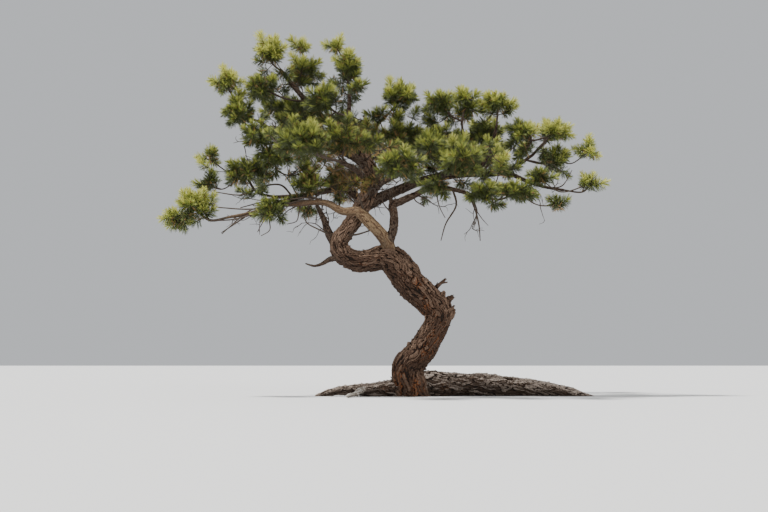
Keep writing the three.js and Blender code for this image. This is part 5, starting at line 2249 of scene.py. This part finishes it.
@dataclass
class Trunk(LimbWood):
    """The trunk from its flat foot, with the leader that carries it on through the crown."""

    name: str = "bark_trunk"
    limbs: tuple[str, ...] = ("trunk", "leader")
    finish: BarkFinish = OLD_BARK
    relief: BarkRelief = BarkRelief(plate_width=29, plate_length=165, depth=15, crack=0.36, pitch=7, seed=3)
    wear: Wear = Wear(
        rust=(
            Spot((110, -140, 880), 60, 1.6), Spot((240, -150, 590), 70, 2.2), Spot((130, -160, 400), 60, 1.8),
            Spot((-120, -130, 170), 70, 1.8), Spot((40, -150, 90), 60, 1.6), Spot((60, -150, 1130), 45, 1.5),
            Spot((240, 120, 700), 80, 2), Spot((20, 150, 200), 80, 1.6), Spot((-440, -60, 2110), 60, 1.6),
            Spot((150, -120, 865), 42, 1.5),
        ),
        pale=(
            Spot((-470, -60, 1435), 45), Spot((-735, -30, 1590), 42), Spot((95, -100, 655), 32, 1.8),
            Spot((0, -110, 515), 30, 1.6),
        ),
        shag=(Spot((400, -60, 860), 85), Spot((370, -60, 990), 50), Spot((330, -60, 700), 40)),
        bleach=(0, 0, 0, 0, 0, 0, 0, 0.1, 0.5, 0.8, 0.8, 0.5),
    )
    at_ground: bool = True
    flare: float = 0.32

    def skins(self, growth: Growth) -> list[Limb]:
        """The trunk and the leader as one limb, so that the bark runs on from one to the other.

        Args:
            growth: The grown tree.

        Returns:
            That limb alone.
        """
        lower, upper = (growth.limbs[name] for name in self.limbs)
        whole = lower.line.length + upper.line.length
        runs = np.linspace(0, whole, 60)
        above = along(upper.spec.radii, (runs - lower.line.length) / upper.line.length)
        radii = np.where(runs < lower.line.length, along(lower.spec.radii, runs / lower.line.length), above)
        through = lower.spec.through + upper.spec.through
        spec = LimbSpec("", 0, radii.tolist(), through, gnarl=0.05, stubs=lower.spec.stubs)
        return [Limb("stem", spec, {})]


@dataclass
class GroundRoots(LimbWood):
    """The two thick roots that run out over the ground."""

    name: str = "bark_ground_roots"
    limbs: tuple[str, ...] = ("root_right", "root_left")
    finish: BarkFinish = ROOT_BARK
    relief: BarkRelief = BarkRelief(plate_width=20, plate_length=150, depth=12, crack=0.4, pitch=6.5, seed=5)
    wear: Wear = Wear(rust=(Spot((330, -60, 90), 60), Spot((-260, -110, 70), 60)))
    at_ground: bool = True
    sunk: float = 0.16


@dataclass
class CrossArm(LimbWood):
    """The long tan limb that crosses in front of the fork and runs out to the left."""

    name: str = "bark_cross_arm"
    limbs: tuple[str, ...] = ("left_arm",)
    finish: BarkFinish = TAN_BARK
    relief: BarkRelief = BarkRelief(plate_width=26, plate_length=190, depth=2.2, crack=0.4, pitch=8, seed=8)
    wear: Wear = Wear(bleach=(0, 0.38, 0.8, 0.85, 0.55, 0.25, 0.1, 0, 0, 0, 0, 0))


@dataclass
class CrownBoughs(LimbWood):
    """The boughs that carry the masses of needles, and the dead snag."""

    name: str = "bark_crown_boughs"
    limbs: tuple[str, ...] = (
        "left_upper_arm", "left_limb", "upper_left_bough", "top_bough", "spire_bough",
        "peak_bough", "right_main", "right_low_bough", "right_up_bough", "right_peak_bough",
        "right_end_bough", "front_left_bough", "front_right_bough", "back_left_bough",
        "back_right_bough", "right_back_bough", "right_front_bough", "snag",
    )
    finish: BarkFinish = LIMB_BARK
    relief: BarkRelief = BarkRelief(plate_width=24, plate_length=75, depth=5, crack=0.42, pitch=8, seed=12)


@dataclass
class BleachedRoot(LimbWood):
    """The bleached root that lies in front of the left one."""

    name: str = "wood_bleached_root"
    limbs: tuple[str, ...] = ("root_bleached",)
    finish: BarkFinish = PALE_WOOD
    relief: BarkRelief = BarkRelief(plate_width=16, plate_length=90, depth=4, crack=0.45, pitch=5, seed=15)
    at_ground: bool = True


@dataclass
class DeadTwigs(LimbWood):
    """The long dead twigs under the crown, with the forks of one of them."""

    name: str = "bark_dead_twigs"
    limbs: tuple[str, ...] = ("dead_twig_long", "dead_twig_forked", "dead_twig_left")
    finish: BarkFinish = TWIG_BARK
    relief: BarkRelief = BarkRelief(plate_width=12, plate_length=40, depth=1.5, crack=0.4, pitch=4, seed=16)


@dataclass
class LooseBark:
    """Flakes of loose bark on the trunk and the roots.

    Args:
        name: How the piece's name starts.
        density: Flakes per square metre where the bark is flaky.
        size: Length of a flake, in metres.
        lift: Most that a flake's end is lifted, in radians.
        even_share: Share of the density that lies where the bark isn't shaggy.
        seed: Fixes where they lie.
    """

    name: str = "flakes"
    density: float = 1100
    size: float = 0.04
    lift: float = 0.5
    even_share: float = 0.3
    seed: int = 21

    def build(self, wood: bpy.types.Object, tree: bpy.types.NodeTree, form: bpy.types.Object) -> None:
        """Makes the flakes of one piece of wood.

        Args:
            wood: The piece that carries them.
            tree: The tree that lays them.
            form: One flake.
        """
        carrier = placed(f"{self.name}_on_{wood.name}", wood.data.copy())
        values = {
            "Flake": form, "Density": self.density, "Size": self.size, "Lift": self.lift,
            "Even Share": self.even_share, "Finish": wood.data.materials[0], "Seed": self.seed,
        }
        flakes = grown(carrier, tree, values)
        hand_over(flakes, wood["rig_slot"], wood["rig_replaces"])


@dataclass
class Twigs:
    """The living twigs of all masses, and the bare ones that hang under the boughs.

    Args:
        sides: Corners of a twig's ring.
        step: Distance between rings, in millimetres.
        shoot_reach: How far a shoot goes on past its middle, as a share of its reach.
        bare: How many bare twigs each limb has, by the limb's name.
        drawn: Bare twigs with a place of their own, each a limb, a share of its length, a radius and points.
        bare_length: Shortest and longest bare twig, in millimetres.
    """

    TWIG_SEEDS = 1000
    DRAWN_SEED = 500
    DRAWN_TAPER = 0.5
    BARE_FROM = 0.16
    BARE_SPAN = 0.8
    BARE_FLATNESS = 0.7
    BARE_ALONG = 0.6
    BARE_DROOP = 0.12
    BARE_SOCKET = 0.4
    BARE_RADIUS = 4.2
    BARE_THICKENING = 80
    BARE_FORKS = 2
    BARE_SIDES = 5
    BARE_STEP = 16
    BARE_TAPER = 0.62
    BENDS = 4
    BEND = 1.1
    BEND_DROOP = 0.05
    FORK_CHANCE = 0.5
    FORK_TURN = 2.2
    FORK_REACH = 0.5
    FORK_RADIUS = 0.6

    sides: int = 6
    step: float = 22
    shoot_reach: float = 0.5
    bare: dict[str, int] = field(
        default_factory=lambda: {
            "left_arm": 8, "right_main": 5, "right_low_bough": 3, "left_upper_arm": 7,
            "upper_left_bough": 5, "top_bough": 3, "leader": 22, "left_limb": 4, "right_end_bough": 2,
            "front_left_bough": 4, "front_right_bough": 4,
        }
    )
    bare_length: tuple[float, float] = (160, 480)
    drawn: tuple = (
        ("left_arm", 0.47, 12, (
            (-1020, -150, 1980), (-1325, -120, 1905), (-1630, -60, 1870), (-1985, -60, 1890),
        )),
        ("left_arm", 0.44, 11, (
            (-1050, -160, 1945), (-1460, -240, 1825), (-1750, -260, 1740), (-2020, -230, 1725),
        )),
        ("left_upper_arm", 0.8, 11, (
            (-1345, 60, 2140), (-1540, 0, 2105), (-1715, -40, 2020), (-1990, -60, 2045),
        )),
        ("left_arm", 0.52, 9, ((-1060, -180, 1965), (-1300, -210, 1925), (-1490, -220, 1860))),
        ("left_upper_arm", 0.3, 11, (
            (-1010, 150, 2060), (-1240, 90, 1990), (-1480, 40, 1965), (-1740, 10, 1895),
        )),
        ("left_upper_arm", 0.55, 8, ((-1180, 160, 2010), (-1370, 80, 1930), (-1620, 60, 1925))),
        ("left_arm", 0.7, 9, ((-1600, -160, 1850), (-1745, -150, 1745), (-1895, -160, 1605))),
        ("left_arm", 0.73, 8, ((-1415, -220, 1760), (-1410, -230, 1635), (-1495, -240, 1575))),
        ("left_arm", 0.61, 8, ((-1130, -180, 1800), (-1150, -180, 1730), (-1245, -190, 1700))),
        ("left_limb", 0.35, 10, ((-945, -30, 1670), (-1055, -60, 1730), (-1095, -80, 1815))),
        ("left_limb", 0.98, 10, ((-975, 50, 2020), (-960, 100, 2120), (-920, 120, 2240))),
        ("left_upper_arm", 0.75, 8, ((-1245, 150, 2170), (-1300, 60, 2240), (-1370, 20, 2290))),
        ("leader", 0.3, 10, ((-605, 30, 1975), (-680, 60, 2065), (-750, 60, 2170))),
        ("trunk", 0.985, 14, ((-560, -50, 1612), (-410, -70, 1655))),
        ("right_main", 0.94, 8, ((1520, -30, 2110), (1570, -20, 2165), (1630, -30, 2275))),
        ("right_low_bough", 0.68, 8, ((255, -150, 1960), (280, -160, 1865), (330, -165, 1765))),
        ("right_low_bough", 0.5, 8, ((30, -130, 1950), (75, -140, 1915), (130, -150, 1880))),
    )

    def build(self, growth: Growth) -> None:
        """Makes, dresses and hands over the piece of twigs.

        Args:
            growth: The grown tree.
        """
        shell = Shell()
        for number, mass in enumerate(growth.masses):
            for turn, twig in enumerate(mass.twigs):
                self.add_twig(shell, twig, self.TWIG_SEEDS * number + turn)
        for name, count in self.bare.items():
            self.add_bare(shell, growth.limbs[name], count)
        for number, (name, share, radius, points) in enumerate(self.drawn):
            line = Line([growth.limbs[name].point(share), *(vector(*point) for point in points)])
            shares = np.linspace(0, 1, round(line.length / self.step))
            radii = radius * (1 - self.DRAWN_TAPER * shares)
            add_rod(shell, line.points(shares), radii, self.sides, self.DRAWN_SEED + number)
        piece = shell.build("twigs")
        mend(piece)
        piece.data.materials.append(TWIG_BARK.material())
        hand_over(piece, TWIG_BARK.slot, [mass.name for mass in growth.masses])

    def add_twig(self, shell: Shell, twig: Twig, seed: int) -> None:
        """Adds one living twig, which goes on to the tip of its shoot where it has one.

        Args:
            shell: What it is added to.
            twig: The twig.
            seed: Fixes its knobs and tone.
        """
        points, radii = list(twig.points), list(twig.radii)
        if twig.tuft is not None:
            points.append(twig.tuft.middle + twig.tuft.axis * twig.tuft.reach * self.shoot_reach)
            radii.append(radii[-1] * 0.5)
        line = Line(points)
        shares = np.linspace(0, 1, max(4, round(line.length / self.step)))
        marks = np.linalg.norm(np.diff(points, axis=0), axis=1).cumsum()
        marks = np.concatenate([[0], marks]) / marks[-1]
        add_rod(shell, line.points(shares), np.interp(shares, marks, radii), self.sides, seed)

    def add_bare(self, shell: Shell, limb: Limb, count: int) -> None:
        """Adds bare crooked twigs along a limb, drooping and forked.

        Args:
            shell: What they are added to.
            limb: The limb.
            count: Their number.
        """
        dice = Dice(f"bare {limb.name}")
        low, high = self.bare_length
        for number in range(count):
            share = self.BARE_FROM + self.BARE_SPAN * (number + dice.roll()) / count
            side = dice.stray() * vector(1, 1, self.BARE_FLATNESS) + limb.tangent(share) * self.BARE_ALONG
            side = unit(side - vector(0, 0, self.BARE_DROOP))
            reach = low + (high - low) * dice.roll()
            start = limb.point(share) + side * limb.radius(share) * self.BARE_SOCKET
            radius = self.BARE_RADIUS + reach / self.BARE_THICKENING
            self.add_crooked(shell, start, side, reach, radius, dice, self.BARE_FORKS)

    def add_crooked(
        self, shell: Shell, start: np.ndarray, heading: np.ndarray, reach: float, radius: float,
        dice: Dice, forks: int,
    ) -> None:
        """Adds one bare twig and its forks.

        Args:
            shell: What it is added to.
            start: Its foot, in millimetres.
            heading: Its first direction.
            reach: Its length.
            radius: Radius of its foot.
            dice: Gives its bends.
            forks: How many times its forks fork again.
        """
        points = [start]
        for _ in range(self.BENDS):
            heading = unit(heading + dice.stray() * self.BEND - vector(0, 0, self.BEND_DROOP))
            points.append(points[-1] + heading * reach / self.BENDS)
            if forks and dice.roll() < self.FORK_CHANCE:
                side = unit(heading + dice.stray() * self.FORK_TURN)
                fork_reach, fork_radius = reach * self.FORK_REACH, radius * self.FORK_RADIUS
                self.add_crooked(shell, points[-1], side, fork_reach, fork_radius, dice, forks - 1)
        shares = np.linspace(0, 1, max(5, round(reach / self.BARE_STEP)))
        radii = radius * (1 - self.BARE_TAPER * shares)
        add_rod(shell, Line(points).points(shares), radii, self.BARE_SIDES, int(dice.roll() * 1e6))


@dataclass
class Foliage:
    """The needles of one part of the crown.

    Args:
        region: The part of the crown.
        spacing: Distance between two bundles of needles along a shoot, in metres.
        rear: How far behind its middle a shoot's needles start, as a share of its reach.
        front: How far ahead of its middle they end.
        needle_reach: Length of a needle, as a share of the shoot's reach.
        width: Scale of a bundle across its length, in metres.
        dry_share: Share of dry needles at the rear of a shoot.
        dry_heart: Share of dry needles on a shoot at the crown's heart.
        crown_heart: The crown's heart, in millimetres.
        dry_reach: How far from the heart dry needles reach, each way.
        seed: Fixes how the needles lie.
    """

    CROWN_MIDDLE = (-400, 0, 2500)
    CROWN_HALF = (1900, 5000, 1000)
    RIM_FROM = 0.4
    FRONT_FROM = -200
    FRONT_DEPTH = 450
    OUTWARD_LIGHT = 0.4
    RISE_LIGHT = 0.45
    RIM_LIGHT = 1.7
    SHADED_LOSS = 1.3
    FRONT_LOSS = 0.8
    SHADE_BASE = 2.7
    SHADE_STRAY = 0.5
    SHADE_RANGE = (0.5, 3.1)

    region: Region
    spacing: float = 0.00185
    rear: float = 0.46
    front: float = 0.4
    needle_reach: float = 0.96
    width: float = 0.096
    dry_share: float = 0.22
    dry_heart: float = 0.85
    crown_heart: tuple[float, float, float] = (-520, 0, 2300)
    dry_reach: tuple[float, float, float] = (700, 800, 480)
    seed: int = 31

    def build(self, growth: Growth, tree: bpy.types.NodeTree, form: bpy.types.Object) -> None:
        """Makes and hands over the needles.

        Args:
            growth: The grown tree.
            tree: The tree that sets needles on shoots.
            form: One bundle of needles.
        """
        masses = [mass for mass in growth.masses if mass.spec.region is self.region]
        shoots = self.shoot_lines([tuft for mass in masses for tuft in mass.tufts])
        values = {
            "Needle": form, "Spacing": self.spacing, "Dry Share": self.dry_share,
            "Width": self.width, "Seed": self.seed,
        }
        values |= {shade.name: bpy.data.materials[shade.value.name] for shade in Shade}
        needles = grown(shoots, tree, values)
        hand_over(needles, "needles", [mass.name for mass in masses])

    def shoot_lines(self, tufts: list[Tuft]) -> bpy.types.Object:
        """The shoots as lines that carry each needle's share, axis, reach, shade and dryness.

        Args:
            tufts: The shoots.

        Returns:
            The lines, in one object.
        """
        points, edges, shares, axes, reaches, shades, dryness = [], [], [], [], [], [], []
        for tuft in tufts:
            first = len(points)
            points += [
                tuft.middle - tuft.heading * tuft.reach * self.rear,
                tuft.middle,
                tuft.middle + tuft.axis * tuft.reach * self.front,
            ]
            edges += [(first, first + 1), (first + 1, first + 2)]
            shares += [0, self.rear / (self.rear + self.front), 1]
            axes += [tuft.heading, unit(tuft.heading + tuft.axis), tuft.axis]
            reaches += [tuft.reach * self.needle_reach * MM] * 3
            shades += [self.shade_of(tuft)] * 3
            depth = 1 - length((tuft.middle - vector(*self.crown_heart)) / vector(*self.dry_reach))
            dryness += [self.dry_heart * max(0.0, depth)] * 3
        mesh = bpy.data.meshes.new("shoot_lines")
        mesh.from_pydata(np.array(points) * MM, edges, [])
        columns = {"share": shares, "axis": axes, "reach": reaches, "shade": shades, "dryness": dryness}
        for key, rows in columns.items():
            add_values(mesh, key, np.array(rows, float))
        return placed(f"foliage_{self.region.value}", mesh)

    def shade_of(self, tuft: Tuft) -> float:
        """The shade dealt to a shoot: light at the top and rim, dark within and out at the front.

        Args:
            tuft: The shoot.

        Returns:
            A number on the scale of the shades' numbers, from light to dark.
        """
        stray = math.sin(tuft.middle[0] * 0.37 + tuft.middle[2] * 0.53) * self.SHADE_STRAY
        place = (tuft.middle - vector(*self.CROWN_MIDDLE)) / vector(*self.CROWN_HALF)
        rim = max(0.0, length(place) - self.RIM_FROM)
        forward = float(np.clip((self.FRONT_FROM - tuft.middle[1]) / self.FRONT_DEPTH, 0, 1))
        light = self.OUTWARD_LIGHT * tuft.outward + self.RISE_LIGHT * tuft.rise + self.RIM_LIGHT * rim
        light = light - self.SHADED_LOSS * tuft.shaded - self.FRONT_LOSS * forward
        return float(np.clip(self.SHADE_BASE - light + stray, *self.SHADE_RANGE))


@dataclass
class Buds:
    """The buds on the tips of all shoots.

    Args:
        bud_length: Length of a bud, in metres.
        place: Place of a bud ahead of its shoot's middle, as a share of the reach.
        seed: Fixes their turns and sizes.
    """

    bud_length: float = 0.03
    place: float = 0.47
    seed: int = 51

    def build(self, growth: Growth) -> None:
        """Makes and hands over the buds.

        Args:
            growth: The grown tree.
        """
        tufts = [tuft for mass in growth.masses for tuft in mass.tufts]
        points = np.array([tuft.middle + tuft.axis * tuft.reach * self.place for tuft in tufts])
        mesh = bpy.data.meshes.new("bud_places")
        mesh.from_pydata(points * MM, [], [])
        add_values(mesh, "axis", np.array([tuft.axis for tuft in tufts]))
        finish = PlainFinish("bark_tan", "bud_scales", (0.24, 0.12, 0.055), 0.6, 0.3)
        form = bud_form()
        values = {"Bud": form, "Length": self.bud_length, "Finish": finish.material(), "Seed": self.seed}
        buds = grown(placed("buds", mesh), bud_tree(), values)
        bpy.data.objects.remove(form)
        hand_over(buds, finish.slot, [mass.name for mass in growth.masses])


@dataclass
class Studio:
    """The floor, the light and the camera.

    Args:
        floor_half: Half the side of the floor, in metres.
        floor_colour: Colour of the floor.
        sky_colour: Colour of the light from all round.
        sky_strength: Its strength.
        key_light: Direction, strength and softness of the main lamp.
        fill_light: The same of the lamp that lights the shadows.
    """

    floor_half: float = 60
    floor_colour: tuple[float, float, float] = (0.78, 0.77, 0.75)
    sky_colour: tuple[float, float, float] = (0.93, 0.96, 1.0)
    sky_strength: float = 0.62
    key_light: tuple = ((-0.55, -0.05, 1.0), 5.6, 7)
    fill_light: tuple = ((0.6, -1.0, 0.5), 0.7, 40)

    def build(self) -> None:
        """Makes all of it."""
        self.add_floor()
        world = bpy.data.worlds.new("studio_light")
        world.use_nodes = True
        background = world.node_tree.nodes["Background"]
        background.inputs["Color"].default_value = rgba(self.sky_colour)
        background.inputs["Strength"].default_value = self.sky_strength
        bpy.context.scene.world = world
        self.add_lamp("key_light", *self.key_light)
        self.add_lamp("fill_light", *self.fill_light)
        self.add_camera()
        log.info("studio: floor, two lamps and camera")

    def add_floor(self) -> None:
        """Makes the pale floor, just under the tree's foot."""
        half = self.floor_half
        corners = [(-half, -half), (half, -half), (half, half), (-half, half)]
        mesh = bpy.data.meshes.new("floor")
        mesh.from_pydata([(x, y, -MM) for x, y in corners], [], [[0, 1, 2, 3]])
        floor = placed("floor", mesh)
        material, shader = new_material("floor_paper")
        shader.inputs["Base Color"].default_value = rgba(self.floor_colour)
        shader.inputs["Roughness"].default_value = 0.9
        shader.inputs["Specular IOR Level"].default_value = 0.1
        mesh.materials.append(material)

    def add_lamp(self, name: str, place: tuple, strength: float, softness: float) -> None:
        """Adds a far lamp.

        Args:
            name: Its name.
            place: The direction that it stands in, seen from the tree.
            strength: Its strength.
            softness: How wide it looks, in degrees.
        """
        data = bpy.data.lights.new(name, "SUN")
        data.energy = strength
        data.angle = math.radians(softness)
        lamp = bpy.data.objects.new(name, data)
        x, y, z = place
        lamp.rotation_euler = (math.atan2(math.hypot(x, y), z), 0, math.atan2(x, -y))
        bpy.context.scene.collection.objects.link(lamp)

    def add_camera(self) -> None:
        """Adds the camera at the photograph's place and angle."""
        data = bpy.data.cameras.new("camera")
        data.sensor_fit = "HORIZONTAL"
        data.sensor_width = SENSOR_WIDTH
        data.lens = FOCAL_PIXELS / IMAGE_WIDTH * SENSOR_WIDTH
        data.clip_end = 300
        camera = bpy.data.objects.new("camera", data)
        camera.location = CAMERA_PLACE
        camera.rotation_euler = (math.pi / 2 + CAMERA_PITCH, 0, 0)
        bpy.context.scene.collection.objects.link(camera)
        bpy.context.scene.camera = camera


def main() -> None:
    """Builds the studio and every piece of the tree."""
    logging.basicConfig(level=logging.INFO, format="%(message)s")
    Studio().build()
    growth = Growth()
    log.info("growth: %d shoots", sum(len(mass.tufts) for mass in growth.masses))
    trunk = Trunk().build(growth)
    roots = GroundRoots().build(growth)
    CrossArm().build(growth)
    CrownBoughs().build(growth)
    BleachedRoot().build(growth)
    DeadTwigs().build(growth)
    flake, flakes = flake_form(), flake_tree()
    LooseBark().build(trunk, flakes, flake)
    LooseBark("shags", density=1300, size=0.09, lift=1.4, even_share=0, seed=23).build(trunk, flakes, flake)
    LooseBark(density=1500, size=0.034, seed=22).build(roots, flakes, flake)
    bpy.data.objects.remove(flake)
    Twigs().build(growth)
    Buds().build(growth)
    for shade in Shade:
        shade.value.material()
    bundle, needles = needle_form(), needle_tree()
    for region in Region:
        Foliage(region).build(growth, needles, bundle)
    bpy.data.objects.remove(bundle)


if __name__ == "__main__":
    main()
